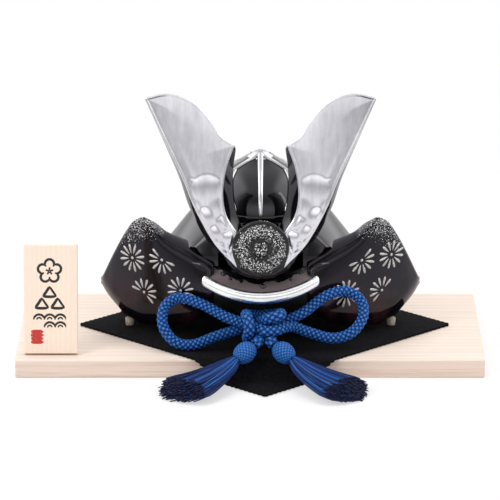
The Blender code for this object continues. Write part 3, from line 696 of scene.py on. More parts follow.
wool = Finish("black_pressed_wool", Roughness=1.0, IOR=1.2)
wool_fibres = wool.grain(1900.0, 4.0, 0.7)
wool_clumps = wool.grain(420.0, 3.0, 0.6)
wool.put("Base Color", wool.ramp(wool_fibres * 0.6 + wool_clumps * 0.4, [
    (0.3, paint(5, 4, 6)), (0.5, paint(12, 11, 14)), (0.7, paint(36, 34, 40)),
]))
wool.bump(wool_fibres + wool_clumps, 0.0006, 0.7)
felt = pinked_felt(wool)
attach(felt, "root")
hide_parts("felt_cloth")

# Helmet bowl: slip-cast white clay under a thick black glaze. A knob crowns it, a bead runs
# round its rim, and platinum lustre covers the crown and three thin ribs at the front.
helmet_x = 6.8 * MM
helmet_y = 5.0 * MM
felt_top = 13.8 * MM
bowl_wide = 35.0 * MM
bowl_deep = 42.0 * MM
bowl_rise = 32.5 * MM
bowl_base = 91.3 * MM
knob_rise = 6.2 * MM
knob_reach = 9.0 * MM
lustre_lift = 0.25 * MM


def helmet_spot(x, y, height):
    """Spot across from the helmet's middle plane, at a depth and a height above the felt."""
    return Vector((helmet_x + x, y, felt_top + height))


def bowl_spot(x, depth, lift=0.0):
    """Spot on the bowl's upper half over a plan place, which is measured from its middle."""
    share = 1 - (x / bowl_wide) ** 2 - (depth / bowl_deep) ** 2
    rise = bowl_rise * math.sqrt(max(share, 0.0))
    knob = knob_rise * math.exp(-(x * x + depth * depth) / knob_reach ** 2)
    slope = Vector((x / bowl_wide ** 2, depth / bowl_deep ** 2, rise / bowl_rise ** 2)).normalized()
    return Vector((helmet_x + x, helmet_y + depth, bowl_base + rise + knob)) + slope * lift


def glazed_bowl(finish):
    """The bowl from its knob over the rim's bead down into the neck guard."""
    around = 120
    rows = 34
    rim = [(0.9, 5.2), (1.3, 4.4), (1.4, 3.4), (1.0, 2.4), (-0.4, 1.6), (-2.2, 1.0), (-3.0, -1.0),
           (-3.0, -12.0), (-3.0, -24.0), (-3.0, -35.0)]
    verts = [Vector((helmet_x, helmet_y, bowl_base + bowl_rise + knob_rise))]
    for row in range(rows - 1, 1, -1):
        climb = math.pi / 2 * row / rows
        for step in range(around):
            turn = 2 * math.pi * step / around
            verts.append(bowl_spot(bowl_wide * math.cos(climb) * math.cos(turn),
                                   bowl_deep * math.cos(climb) * math.sin(turn)))
    for out, height in rim:
        for step in range(around):
            turn = 2 * math.pi * step / around
            verts.append(Vector((helmet_x + (bowl_wide + out * MM) * math.cos(turn),
                                 helmet_y + (bowl_deep + out * MM) * math.sin(turn),
                                 bowl_base + height * MM)))
    faces = [(0, 1 + step, 1 + (step + 1) % around) for step in range(around)]
    faces += band(rows - 2 + len(rim), around, 1, inward=True)
    bowl = new_piece("glazed_bowl", verts, faces, finish)
    thicken(bowl, 2.5 * MM)
    return bowl


def lustre_rib(name, plan, wide_start, wide_end, finish):
    """A thin raised line of lustre that follows plan places over the bowl."""
    steps = 47
    walk = even_walk(easy_curve([Vector((x, y, 0)) * MM for x, y in plan], 10), steps + 1)
    verts = []
    faces = []
    across_count = 7
    for index, spot in enumerate(walk):
        ahead = walk[min(index + 1, steps)] - walk[max(index - 1, 0)]
        side = Vector((ahead.y, -ahead.x, 0)).normalized()
        t = index / steps
        width = (wide_start + (wide_end - wide_start) * t) * MM
        cap = math.sqrt(max(0.0, 1 - max(0.0, (t - 0.96) / 0.04) ** 2))
        for step in range(across_count):
            share = -1 + 2 * step / (across_count - 1)
            place = spot + side * (width / 2 * share * cap)
            lift = -0.35 + 1.15 * math.sqrt(max(0.0, 1 - share * share))
            verts.append(bowl_spot(place.x, place.y, lift * MM))
    for index in range(steps):
        for step in range(across_count - 1):
            low = index * across_count + step
            faces.append((low, low + across_count, low + across_count + 1, low + 1))
    rib = new_piece(name, verts, faces, finish)
    thicken(rib, 0.6 * MM)
    return rib


def lustre_crown(finish):
    """The knob's cover, whose hand-painted edge isn't quite round."""
    around = 72
    rows = 10
    verts = [bowl_spot(0, 0, lustre_lift)]
    for row in range(1, rows + 1):
        lift = lustre_lift if row < rows else -0.3 * MM
        for step in range(around):
            turn = 2 * math.pi * step / around
            reach = (knob_reach + 0.35 * MM * math.sin(turn * 3 + 1)) * row / rows
            verts.append(bowl_spot(reach * math.sin(turn), -reach * math.cos(turn), lift))
    faces = [(0, 1 + step, 1 + (step + 1) % around) for step in range(around)]
    faces += band(rows, around, 1, inward=True)
    crown = new_piece("lustre_crown", verts, faces, finish)
    thicken(crown, 0.8 * MM)
    return crown


glaze = Finish("black_glaze", Roughness=0.06, IOR=1.47, Specular_Tint=(0.94, 0.91, 1.0))
glaze_drift = glaze.grain(38.0, 3.0)
glaze.put("Base Color", glaze.ramp(glaze_drift, [
    (0.3, paint(4, 4, 6)), (0.55, paint(9, 8, 11)), (0.75, paint(20, 13, 16)),
]))
glaze.bump(glaze.grain(90.0, 1.0), 0.0004, 0.12)

lustre = Finish("platinum_lustre", Metallic=1.0)
lustre_drift = lustre.grain(60.0, 4.0, 0.6)
lustre.put("Base Color", lustre.ramp(lustre_drift, [
    (0.3, paint(176, 175, 178)), (0.6, paint(198, 197, 200)), (0.8, paint(214, 213, 216)),
]))
lustre.put("Roughness", lustre_drift * 0.16 + 0.16)
lustre.bump(lustre.grain(320.0, 3.0), 0.0003, 0.15)

bowl = glazed_bowl(glaze)
crown = lustre_crown(lustre)
front_rib = lustre_rib("front_rib", [
    (0, -4), (0, -14), (0, -24), (0, -34), (0, -39.5), (0, -41.9),
], 3.6, 2.0, lustre)
helmet_pieces = [bowl, crown, front_rib]
for rib_side, rib_word in ((-1, "left"), (1, "right")):
    helmet_pieces.append(lustre_rib("brow_rib_" + rib_word, [
        (rib_side * 0.8, -3.5), (rib_side * 3.3, -6.5), (rib_side * 10, -7.5), (rib_side * 16.3, -10.1),
        (rib_side * 23, -15), (rib_side * 29, -19.5),
    ], 1.7, 1.3, lustre))
    helmet_pieces.append(lustre_rib("panel_line_" + rib_word, [
        (rib_side * 15.6, -11.0), (rib_side * 18.0, -18.0), (rib_side * 18.3, -24.6),
        (rib_side * 17.6, -32.0), (rib_side * 15.6, -36.8),
    ], 0.6, 0.6, lustre))
    helmet_pieces.append(lustre_rib("back_rib_" + rib_word, [
        (rib_side * 6, 4), (rib_side * 14, 14), (rib_side * 21, 24), (rib_side * 25, 29),
    ], 2.0, 1.4, lustre))

# Neck guard: the bell-shaped skirt of the same casting, glazed black, which hangs from the
# bowl's rim round the sides and back. Its face has broad soft upright facets.
guard_top = 98.5 * MM
guard_low = 19.3 * MM
guard_top_wide = 33.0 * MM
guard_top_deep = 40.0 * MM
guard_wide = 87.5 * MM
guard_deep = 65.0 * MM
guard_flare = 1.2
guard_front = 27.0 * MM
flap_inner = 30.0 * MM
flap_span = 74.4 * MM
flap_outer = flap_inner + flap_span
flap_advance = 49.0 * MM
flap_slope = 0.27
flap_slope_gain = 0.73 / flap_span
flap_top_line = [
    (30, 54.2), (42, 64.8), (51, 67.8), (61, 70.6), (67, 75.0), (75.5, 78.0), (82, 74.1),
    (86, 68.2), (91, 58.7), (96, 47.9), (101, 36.2), (104.4, 28.0),
]


def read_line(line, distance):
    """Height above the felt on a line drawn through points, rounded at its corners."""
    spot = distance / MM
    total = 0.0
    weights = 0.0
    for shift in (-2.0, -1.0, 0.0, 1.0, 2.0):
        here = min(max(spot + shift, line[0][0]), line[-1][0])
        for (x0, z0), (x1, z1) in zip(line, line[1:]):
            if here <= x1:
                break
        weight = 3 - abs(shift)
        total += weight * (z0 + (z1 - z0) * (here - x0) / (x1 - x0))
        weights += weight
    return total / weights * MM


def flap_face(distance):
    """Depth of the flaps' front at a distance from the helmet's middle."""
    run = distance - flap_inner
    return helmet_y - flap_advance + run * flap_slope + flap_slope_gain * run * abs(run) / 2


def guard_spot(side, progress, fraction):
    """Spot on the guard: round its back (side 0) or along a front end, from its top to its rim."""
    flare = 1 - (1 - fraction) ** guard_flare
    half_wide = guard_top_wide + (guard_wide - guard_top_wide) * flare
    half_deep = guard_top_deep + (guard_deep - guard_top_deep) * flare
    top = guard_top
    low = guard_low
    if side == 0:
        turn = math.pi * (1 - progress)
        facet = 0.9 * MM * fraction * (abs(math.cos(7 * turn)) - 0.5)
        x = (half_wide + facet) * math.cos(turn)
        y = (half_deep + facet) * math.sin(turn)
    else:
        front_wide = guard_front + (guard_wide - guard_front) * flare
        side_part = min(progress, 1.0)
        width = half_wide + (front_wide - half_wide) * side_part
        behind = (3 + 11 * (1 - fraction) ** 2 + 6 * fraction ** 2) * MM
        top -= 12 * MM * side_part ** 2
        low += 7 * MM * side_part
        x = side * width
        y = (flap_face(width) + behind - helmet_y) * side_part
    spot = Vector((helmet_x + x, helmet_y + y, top + (low - top) * fraction))
    if side and progress > 1:
        lip = felt_top + read_line(flap_top_line, abs(x)) - 5 * MM
        spot.y -= 3 * MM * (progress - 1) * max(0.0, 1 - 2.5 * fraction)
        spot.z += (min(spot.z - 0.4 * MM, lip) - spot.z) * (progress - 1)
    return spot


def neck_guard(finish):
    """The guard from its left front end round the back to its right one; the ends close on the flaps."""
    front_steps = [step / 14 for step in (*range(1, 15), 17, 20, 24, 28)]
    stations = [(-1, progress) for progress in front_steps[::-1]]
    stations += [(0, step / 112) for step in range(113)]
    stations += [(1, progress) for progress in front_steps]
    rows = 40
    verts = []
    for side, progress in stations:
        for row in range(rows + 1):
            verts.append(guard_spot(side, progress, row / rows))
    faces = []
    for column in range(len(stations) - 1):
        for row in range(rows):
            low = column * (rows + 1) + row
            faces.append((low, low + 1, low + rows + 2, low + rows + 1))
    guard = new_piece("neck_guard", verts, faces, finish)
    thicken(guard, 3.6 * MM)
    soft = guard.modifiers.new("Soft edges", "BEVEL")
    soft.width = 1.2 * MM
    soft.segments = 3
    soft.limit_method = "ANGLE"
    soft.angle_limit = math.radians(50)
    bpy.ops.object.modifier_apply(modifier=soft.name)
    return guard


helmet_pieces.append(neck_guard(glaze))

# Ear flaps: two broad wings, cast in one with the guard, whose upper edge is folded back
# into a glossy lip. Platinum is dabbed on their corners and painted on as chrysanthemums.
flap_low_line = [
    (30, 26.0), (36, 16.0), (45, 10.0), (58, 7.0), (70, 5.1), (77, 3.8), (88.3, 7.5),
    (92, 11.1), (98, 16.6), (102.3, 21.6), (104.4, 26.0),
]
flap_lip_back = 1.5 * MM
flap_end_run = 2.5 * MM
flap_fold_line = [
    (30, 47.5), (39.5, 50.7), (45.6, 53.9), (55.2, 57.8), (63, 62.4), (68.8, 68.5), (75.5, 76.0),
    (82, 72.6), (86, 66.7), (91, 57.2), (96, 46.4), (101, 34.9), (104.4, 27.5),
]


def flap_front(distance, height):
    """Depth of the swelling face at a distance from the middle and a height above the felt."""
    low = read_line(flap_low_line, distance)
    fold = read_line(flap_fold_line, distance)
    share = min(max((height - low) / max(fold - low, MM), 0.0), 1.0)
    swell = 2.2 * MM * math.sin(math.pi * share) * min(1.0, (fold - low) / (30 * MM))
    under = 5.0 * MM * max(0.0, 1 - (height - low) / (11 * MM)) ** 2
    return flap_face(distance) - swell + under


def tube_faces(rings, around, mirrored):
    """Faces of a closed tube with flat ends, whose rings a mirrored side runs the other way."""
    last = (rings - 1) * around
    faces = band(rings, around) + [tuple(range(around))[::-1], tuple(range(last, last + around))]
    return [face[::-1] for face in faces] if mirrored else faces


def ear_flap(side, word, finish):
    """One flap as a row of closed sections: up its face, over the lip and down its back."""
    columns = 90
    verts = []
    for column in range(columns + 1):
        distance = flap_inner + flap_span * column / columns
        low = read_line(flap_low_line, distance)
        fold = read_line(flap_fold_line, distance)
        top = read_line(flap_top_line, distance)
        lip = top - fold
        back = max(flap_lip_back, lip * 1.1)
        top -= 0.286 * (back - flap_lip_back)
        end = min((distance - flap_inner) / flap_end_run, (flap_outer - distance) / flap_end_run, 1.0)
        rounding = 2.0 * MM * (1 - math.sqrt(max(0.0, 1 - (1 - end) ** 2)))
        section = []
        face_low = low + 0.4 * MM
        face_high = max(fold - 0.6 * MM, face_low + 0.5 * MM)
        for row in range(19):
            height = face_low + (face_high - face_low) * row / 18
            section.append((flap_front(distance, height) + rounding, height))
        face_top = flap_front(distance, face_high)
        for step in range(1, 9):
            part = step / 8
            swell = math.sin(math.pi * part) * 0.16 * lip
            section.append((face_top + back * part ** 1.25 + rounding * 0.5,
                            face_high + (top - face_high) * part ** 0.85 + swell * 0.6))
        crown_y = face_top + back
        back_y = crown_y + 2.9 * MM
        back_top = top - 2.6 * MM
        back_low = max(low + 2.0 * MM, low + 0.04 * (top - low))
        section += [(crown_y + 1.2 * MM, top - 0.1 * MM), (crown_y + 2.3 * MM, top - 1.0 * MM),
                    (back_y, back_top)]
        for row in range(1, 9):
            part = row / 8
            height = back_top + (back_low - back_top) * part
            deep = back_y * (1 - part) + (flap_face(distance) + 7.0 * MM) * part
            section.append((max(deep, flap_front(distance, height) + 2.0 * MM), height))
        section.append((flap_front(distance, face_low) + 1.6 * MM, low - 0.3 * MM))
        verts += [helmet_spot(side * distance, y, height) for y, height in section]
    faces = tube_faces(columns + 1, len(verts) // (columns + 1), side > 0)
    return new_piece("ear_flap_" + word, verts, faces, finish)


flap_glaze = Finish("flap_glaze", IOR=1.38, Specular_Tint=(0.92, 0.86, 1.0))
flap_place = flap_glaze.place()
flap_drift = flap_glaze.noise(flap_place, 55.0, 3.0)
flap_across, _, flap_height = flap_glaze.parts(flap_place)
# Patches of reddish brown low on the flaps are a painted reflection on the black glaze.
painted_brown_reflection = flap_glaze.limit(flap_drift, 0.42, 0.58) * flap_glaze.limit(0.062 - flap_height, 0.0, 0.02)
flap_black_and_painted_reflection = flap_glaze.blend(painted_brown_reflection, paint(11, 10, 15), paint(38, 20, 23))
flap_away = flap_glaze.node("Math", {"operation": "ABSOLUTE"}, {0: flap_across - helmet_x}, "Value")
corner_high = flap_glaze.limit(flap_height + flap_away * 0.45, 0.106, 0.128)
corner_in = flap_glaze.limit(flap_away, 0.054, 0.066)
edge_dust = corner_high * corner_in
coarse_dust = flap_glaze.dots(flap_place, 1050.0, edge_dust * 0.9, 0.4)
dust = coarse_dust + flap_glaze.dots(flap_place, 1900.0, edge_dust)
flap_glaze.put("Base Color", flap_glaze.blend(dust, flap_black_and_painted_reflection, paint(226, 226, 226)))
flap_glaze.put("Metallic", dust * 0.15)
flap_glaze.put("Roughness", dust * 0.35 + 0.1)
flap_glaze.bump(flap_glaze.noise(flap_place, 70.0, 1.0), 0.0004, 0.12)

petal_silver = Finish("petal_silver", Metallic=0.35)
petal_grain = petal_silver.grain(900.0, 3.0)
petal_silver.put("Base Color", petal_silver.ramp(petal_grain, [
    (0.3, paint(150, 146, 146)), (0.6, paint(196, 192, 190)),
]))
petal_silver.put("Roughness", petal_grain * 0.2 + 0.32)
petal_count = 12
petal_middle = 6.2 * MM
flap_flowers = {
    -1: [(83.0, 49.6, ()), (63.6, 51.8, (11, 0, 1, 2)), (75.4, 28.1, (5, 6, 7, 8)), (51.5, 33.3, ())],
    1: [(84.9, 51.3, ()), (65.3, 51.4, (9, 10, 11, 0)), (78.7, 28.7, (2, 3, 4, 5, 6)), (55.3, 30.8, ())],
}


def flower(side, name, distance, height, missing, finish):
    """One painted chrysanthemum: teardrop petals round a dot, laid on the flap's swelling face."""
    verts = []
    faces = []
    slope = flap_slope + flap_slope_gain * (distance - flap_inner)
    narrow = 0.5 + 0.5 / math.sqrt(1 + slope * slope)

    def lay(u, v, lift):
        """Spot on the flap at a place from the flower's middle, so far before its face."""
        out = distance + side * u * narrow
        return helmet_spot(side * out, flap_front(out, height + v) - lift, height + v)

    def blot(outline, u0, v0):
        """One touch of paint inside an outline, raised towards its middle."""
        first = len(verts)
        verts.append(lay(u0, v0, 0.42 * MM))
        for u, v in outline:
            verts.append(lay(u0 + (u - u0) * 0.72, v0 + (v - v0) * 0.72, 0.38 * MM))
        for u, v in outline:
            verts.append(lay(u, v, -0.1 * MM))
        count = len(outline)
        for index in range(count):
            after = (index + 1) % count
            inner = first + 1
            outer = first + 1 + count
            faces.append((first, inner + index, inner + after))
            faces.append((inner + index, outer + index, outer + after, inner + after))

    for petal in range(petal_count):
        if petal in missing:
            continue
        turn = 2 * math.pi * (petal + 0.5) / petal_count
        outline = []
        for step in range(13, -1, -1):
            angle = 2 * math.pi * step / 14
            along = (6.0 - 3.4 * math.cos(angle)) * MM
            wide = (0.40 + 0.80 * (1 - math.cos(angle)) / 2) * math.sin(angle) * MM
            outline.append((along * math.sin(turn) + wide * math.cos(turn),
                            along * math.cos(turn) - wide * math.sin(turn)))
        blot(outline, petal_middle * math.sin(turn), petal_middle * math.cos(turn))
    angles = [2 * math.pi * step / 12 for step in range(12)]
    blot([(MM * math.cos(angle), MM * math.sin(angle)) for angle in angles], 0.0, 0.0)
    return new_piece(name, verts, faces, finish)


def flap_curl(side, word, finish):
    """The flap's inner end, rolled into a small hook beside the visor."""
    spots = [(44, 52.4), (39.5, 51.8), (36.0, 51.0), (33.4, 48.8), (32.8, 45.8), (34.0, 43.2), (36.8, 42.0)]
    steps = 39
    walk = even_walk(easy_curve([Vector((x, 0, z)) * MM for x, z in spots], 8), steps + 1)
    verts = []
    around = 14
    for index, spot in enumerate(walk):
        ahead = (walk[min(index + 1, steps)] - walk[max(index - 1, 0)]).normalized()
        out = Vector((-ahead.z, 0, ahead.x))
        thick = 1.7 * MM * min(1.0, 0.35 + index / 14, 0.45 + (steps - index) / 8)
        face_y = flap_front(spot.x, spot.z) - 0.3 * MM
        for step in range(around):
            turn = 2 * math.pi * step / around
            place = spot + out * (thick * math.cos(turn))
            verts.append(helmet_spot(side * place.x, face_y - thick * math.sin(turn), place.z))
    return new_piece("flap_curl_" + word, verts, tube_faces(steps + 1, around, side < 0), finish)


for flap_side, flap_word in ((-1, "left"), (1, "right")):
    helmet_pieces.append(ear_flap(flap_side, flap_word, flap_glaze))
    helmet_pieces.append(flap_curl(flap_side, flap_word, glaze))
    for number, (out, height, missing) in enumerate(flap_flowers[flap_side]):
        flower_name = f"painted_flower_{flap_word}_{number}"
        helmet_pieces.append(flower(flap_side, flower_name, out * MM, height * MM, missing, petal_silver))

# Visor: the peak of the same casting, glazed black with small bosses on its top. Its rounded
# rim is a half-round roll covered with bright platinum and cut square at its ends.
visor_reach = 36.0 * MM
visor_front = 66.0 * MM
visor_end_front = 54.0 * MM
visor_level = 49.0 * MM
visor_end_rise = 8.0 * MM
visor_root_reach = 26.5 * MM
visor_root_level = 57.3 * MM
brow_half_wide = 36.0 * MM
brow_deep = 40.0 * MM


def visor_rim_spot(across):
    """Spot on the middle of the rim's roll, from -1 at its left end to 1 at its right one."""
    return Vector((helmet_x + visor_reach * across,
                   helmet_y - visor_front + (visor_front - visor_end_front) * abs(across) ** 2.2,
                   visor_level + visor_end_rise * across * across))


def visor_root_spot(across):
    """Spot where the visor leaves the bowl's brow, counted across like the rim's."""
    x = visor_root_reach * across
    return Vector((helmet_x + x, helmet_y - brow_deep * math.sqrt(1 - (x / brow_half_wide) ** 2),
                   visor_root_level + visor_end_rise * across * across))


def visor_plate(finish):
    """The peak from the brow to the roll, with a ragged step where the lustre begins."""
    columns = 64
    rows = 14
    verts = []
    faces = []
    for column in range(columns + 1):
        across = -1 + 2 * column / columns
        rim = visor_rim_spot(across)
        root = visor_root_spot(across)
        for row in range(rows + 1):
            part = row / rows
            spot = root.lerp(rim, part)
            spot.z += 2.4 * MM * math.sin(math.pi * part) * (1 - part) + 1.0 * MM * part
            if part > 0.45:
                ragged = 0.35 * MM * math.sin(across * 31 + math.sin(across * 13) * 2)
                spot.z -= (0.6 * MM + ragged) * min(1.0, (part - 0.45) * 8) * (1 - part)
            verts.append(spot)
    for column in range(columns):
        for row in range(rows):
            low = column * (rows + 1) + row
            faces.append((low, low + 1, low + rows + 2, low + rows + 1))
    plate = new_piece("visor_plate", verts, faces, finish)
    reach = plate.data.attributes.new("reach", "FLOAT", "POINT")
    reach.data.foreach_set("value", [index % (rows + 1) / rows for index in range(len(verts))])
    thicken(plate, 3.2 * MM)
    return plate


def visor_roll(finish):
    """The rim's half-round roll, with slightly rounded ends."""
    columns = 72
    around = 20
    verts = []
    stops = [-1.0, -0.992] + [-0.985 + 1.97 * step / columns for step in range(columns + 1)] + [0.992, 1.0]
    for index, across in enumerate(stops):
        spot = visor_rim_spot(across)
        ahead = visor_rim_spot(across + 0.01) - visor_rim_spot(across - 0.01)
        outward = Vector((ahead.y, -ahead.x, 0)).normalized()
        up = Vector((0, 0, 1))
        size = {0: 0.8, 1: 0.95}.get(min(index, len(stops) - 1 - index), 1.0)
        for step in range(around):
            turn = 2 * math.pi * step / around
            reach = math.cos(turn)
            rise = math.sin(turn)
            wide = 3.4 if reach > 0 else 2.2
            swell = math.copysign(abs(rise) ** 0.8, rise)
            verts.append(spot + outward * reach * wide * size * MM + up * swell * 4.0 * size * MM)
    last = (len(stops) - 1) * around
    faces = band(len(stops), around, inward=True)
    faces += [tuple(range(around)), tuple(range(last, last + around))[::-1]]
    return new_piece("visor_roll", verts, faces, finish)


def boss(name, x, part, size, finish):
    """A small round boss on the visor's top, a part of the way from its root to its rim."""
    bpy.ops.object.select_all(action="DESELECT")
    across = x * MM / visor_reach
    rim = visor_rim_spot(across)
    root = visor_root_spot(across)
    spot = root.lerp(rim, part)
    spot.x = helmet_x + x * MM
    spot.z += 1.7 * MM
    bpy.ops.mesh.primitive_uv_sphere_add(segments=20, ring_count=12, radius=size * MM)
    knob = bpy.context.object
    knob.name = name
    for vertex in knob.data.vertices:
        local = vertex.co.copy()
        if local.z < 0:
            local = Vector((local.x * 1.25, local.y * 1.25, local.z * 0.7))
        vertex.co = spot + local
    knob.data.materials.append(finish.material)
    bpy.ops.object.shade_smooth()
    knob.select_set(False)
    return knob


roll_lustre = Finish("bright_platinum", Metallic=1.0, Roughness=0.22)
roll_drift = roll_lustre.grain(110.0, 4.0)
roll_lustre.put("Base Color", roll_lustre.ramp(roll_drift, [
    (0.3, paint(232, 232, 235)), (0.7, paint(250, 250, 251)),
]))
roll_lustre.bump(roll_drift, 0.0005, 0.12)
wash = Finish("thin_platinum_wash", Roughness=0.14, IOR=1.6)
wash_reach = wash.node("Attribute", {"attribute_name": "reach"}, output="Fac")
wash_ragged = wash.grain(160.0, 4.0)
wash_out = wash.limit(wash_reach + wash_ragged * 0.4, 0.66, 0.72)
wash.put("Base Color", wash.blend(wash_out, paint(7, 6, 9), paint(168, 152, 154)))
wash.put("Metallic", wash_out * 0.6)
helmet_pieces += [visor_plate(wash), visor_roll(roll_lustre)]
for number, (x, part, size) in enumerate([
    (1.6, 0.62, 1.7), (-24.0, 0.42, 1.9), (25.9, 0.42, 1.9), (-19.6, 0.52, 1.2), (19.6, 0.52, 1.2),
]):
    helmet_pieces.append(boss(f"visor_boss_{number}", x, part, size, glaze))

# Crest: two tall flat horns on a rounded shield, cast with slanting sides. The faces are
# dished and embossed with clouds and covered with satin platinum, the sides are black.
crest_front = helmet_y - 57.0 * MM
shield_height = 70.7
shield_radius = 26.0
shield_half_cut = 5.3
horn_side_counts = (24, 62, 64)
horn_outer_line = [(15.2, 53.1), (29.5, 69.0), (41.2, 90.8), (49.1, 111.2), (60.5, 136.1), (73.3, 164.6)]
horn_inner_lines = [
    [(15.2, 53.1), (17.2, 62.9), (15.7, 75.5)],
    [(15.7, 75.5), (22.5, 87.2), (24.8, 101.2), (22.8, 116.9), (17.0, 133.8)],
    [(17.0, 133.8), (25.8, 139.9), (32.1, 149.9), (42.9, 161.8), (58.7, 167.3), (73.3, 164.6)],
]
horn_back_outer_line = [(13.6, 51.5), (32.6, 66.0), (44.9, 88.8), (52.0, 110.0), (62.4, 135.2), (73.5, 161.8)]
horn_back_inner_lines = [
    [(13.6, 51.5), (14.8, 62.3), (12.0, 77.5)],
    [(12.0, 77.5), (15.6, 88.5), (17.4, 101.2), (17.3, 116.9), (15.6, 129.0)],
    [(15.6, 129.0), (27.3, 137.6), (34.0, 148.2), (44.1, 159.4), (58.4, 164.6), (73.5, 161.8)],
]
# Place across, height, size and rise of each cloud's lobe, in mm.
horn_clouds = [
    (34.0, 103.0, 11.5, 1.7), (41.5, 93.5, 6.4, 1.3), (28.0, 92.5, 8.6, 1.7), (35.5, 85.5, 8.6, 2.6),
    (24.0, 82.5, 7.0, 2.3), (30.0, 75.0, 8.0, 2.8), (20.5, 72.0, 6.4, 2.3), (25.5, 66.0, 6.4, 2.4),
    (18.0, 60.5, 6.0, 2.0),
]


def horn_relief(x, z, edge):
    """How far the face stands forward, in mm, at a spot in mm and its distance from the edge."""
    rim = 0.9 * math.exp(-(edge / 1.3) ** 2)
    deep = min(1.0, max(0.0, (edge - 0.8) / 14.0))
    dish = -1.3 * deep * (2 - deep) * min(1.0, max(0.1, (z - 82) / 30))
    clouds = 0.0
    for cx, cz, size, rise in horn_clouds:
        share = max(0.0, 1 - ((x - cx) ** 2 + (z - cz) ** 2) / size ** 2)
        clouds += (rise * share * (1.2 - 0.2 * share)) ** 4
    clouds = clouds ** (1 / 4) * min(1.0, edge / 3.0)
    spine = (x - 43.0) - (z - 111.0) * 0.42
    if z > 111:
        clouds -= 0.5 * math.exp(-(spine / 1.8) ** 2) * math.exp(-(z - 111) / 16)
    shield_gap = max(0.0, math.hypot(x, z - shield_height) - shield_radius + 1)
    return max(rim + dish + clouds, -0.2 - 0.4 * shield_gap)


def horn_sides(outer_line, inner_lines):
    """The horn's outer and inner edges from its foot to its tip, as equal numbers of spots."""
    outer_curve = easy_curve([Vector(spot).to_3d() for spot in outer_line], 12)
    outer = even_walk(outer_curve, sum(horn_side_counts) + 1)
    inner = []
    for line, count in zip(inner_lines, horn_side_counts):
        stretch = even_walk(easy_curve([Vector(spot).to_3d() for spot in line], 12), count + 1)
        inner += stretch[:-1]
    return outer, inner + [stretch[-1]]


def horn_face():
    """Grid of the right horn's face in mm with its relief, and the loops round face and back."""
    columns = 44
    outer, inner = horn_sides(horn_outer_line, horn_inner_lines)
    back_outer, back_inner = horn_sides(horn_back_outer_line, horn_back_inner_lines)
    loop = outer + inner[-2:0:-1]
    back_loop = back_outer + back_inner[-2:0:-1]
    points = []
    for low, high in zip(outer, inner):
        for column in range(columns + 1):
            part = 0.5 - 0.5 * math.cos(math.pi * column / columns)
            points.append(low.lerp(high, part * 0.75 + 0.25 * column / columns))
    edges = list(zip(loop, loop[1:] + loop[:1]))
    heights = []
    for spot in points:
        nearest = 99.0
        for start, end in edges:
            if abs(start.y - spot.y) > 14 and abs(end.y - spot.y) > 14:
                continue
            run = end - start
            part = min(max((spot - start).dot(run) / max(run.length_squared, 1e-9), 0.0), 1.0)
            nearest = min(nearest, (start + run * part - spot).length)
        heights.append(horn_relief(spot.x, spot.y, nearest))
    return columns, points, heights, loop, back_loop


def turn_outward(piece, weld=0.0, widest=None):
    """Turn a closed piece's faces outward, once wide faces are cut up and near corners welded."""
    shell = bmesh.new()
    shell.from_mesh(piece.data)
    if widest:
        bmesh.ops.triangulate(shell, faces=[face for face in shell.faces if len(face.verts) > widest])
    if weld:
        bmesh.ops.remove_doubles(shell, verts=shell.verts[:], dist=weld)
    bmesh.ops.recalc_face_normals(shell, faces=shell.faces[:])
    shell.to_mesh(piece.data)
    shell.free()


def crest_horn(side, word, form, silver, black):
    """One horn: its embossed face in silver and its slanting sides and back in black."""
    columns, points, heights, loop, back_loop = form
    verts = [helmet_spot(side * spot.x * MM, crest_front - rise * MM, spot.y * MM)
             for spot, rise in zip(points, heights)]
    wide = columns + 1
    rows = len(points) // wide - 1
    faces = []
    for row in range(rows):
        for column in range(columns):
            low = row * wide + column
            faces.append((low, low + 1, low + wide + 1, low + wide))
    face_count = len(faces)
    ring = [row * wide for row in range(rows + 1)]
    ring += [row * wide + columns for row in range(rows - 1, 0, -1)]
    # Way to the back's outline, swell in mm and depth in mm of each ring behind the face.
    levels = [(0.02, 0.12, 0.35), (0.08, 0.25, 1.0), (0.5, 0.2, 4.5), (0.9, 0.1, 8.1), (0.98, 0.0, 8.7),
              (0.985, -0.4, 9.0)]
    count = len(loop)
    normals = []
    for index in range(count):
        along = loop[(index + 3) % count] - loop[index - 3]
        normals.append(Vector((along.y, -along.x, 0)).normalized())
    rings = [ring]
    for share, extra, depth in levels:
        start = len(verts)
        for spot, back_spot, normal in zip(loop, back_loop, normals):
            place = spot.lerp(back_spot, share) + normal * extra
            verts.append(helmet_spot(side * place.x * MM, crest_front + depth * MM, place.y * MM))
        rings.append(list(range(start, start + count)))
    for one, two in zip(rings, rings[1:]):
        for index in range(count):
            after = (index + 1) % count
            faces.append((one[index], one[after], two[after], two[index]))
    faces.append(tuple(rings[-1]))
    horn = new_piece("crest_horn_" + word, verts, faces, silver, black)
    for index, face in enumerate(horn.data.polygons):
        face.material_index = 1 if index >= face_count + 2 * count else 0
    turn_outward(horn, 0.02 * MM, 4)
    return horn


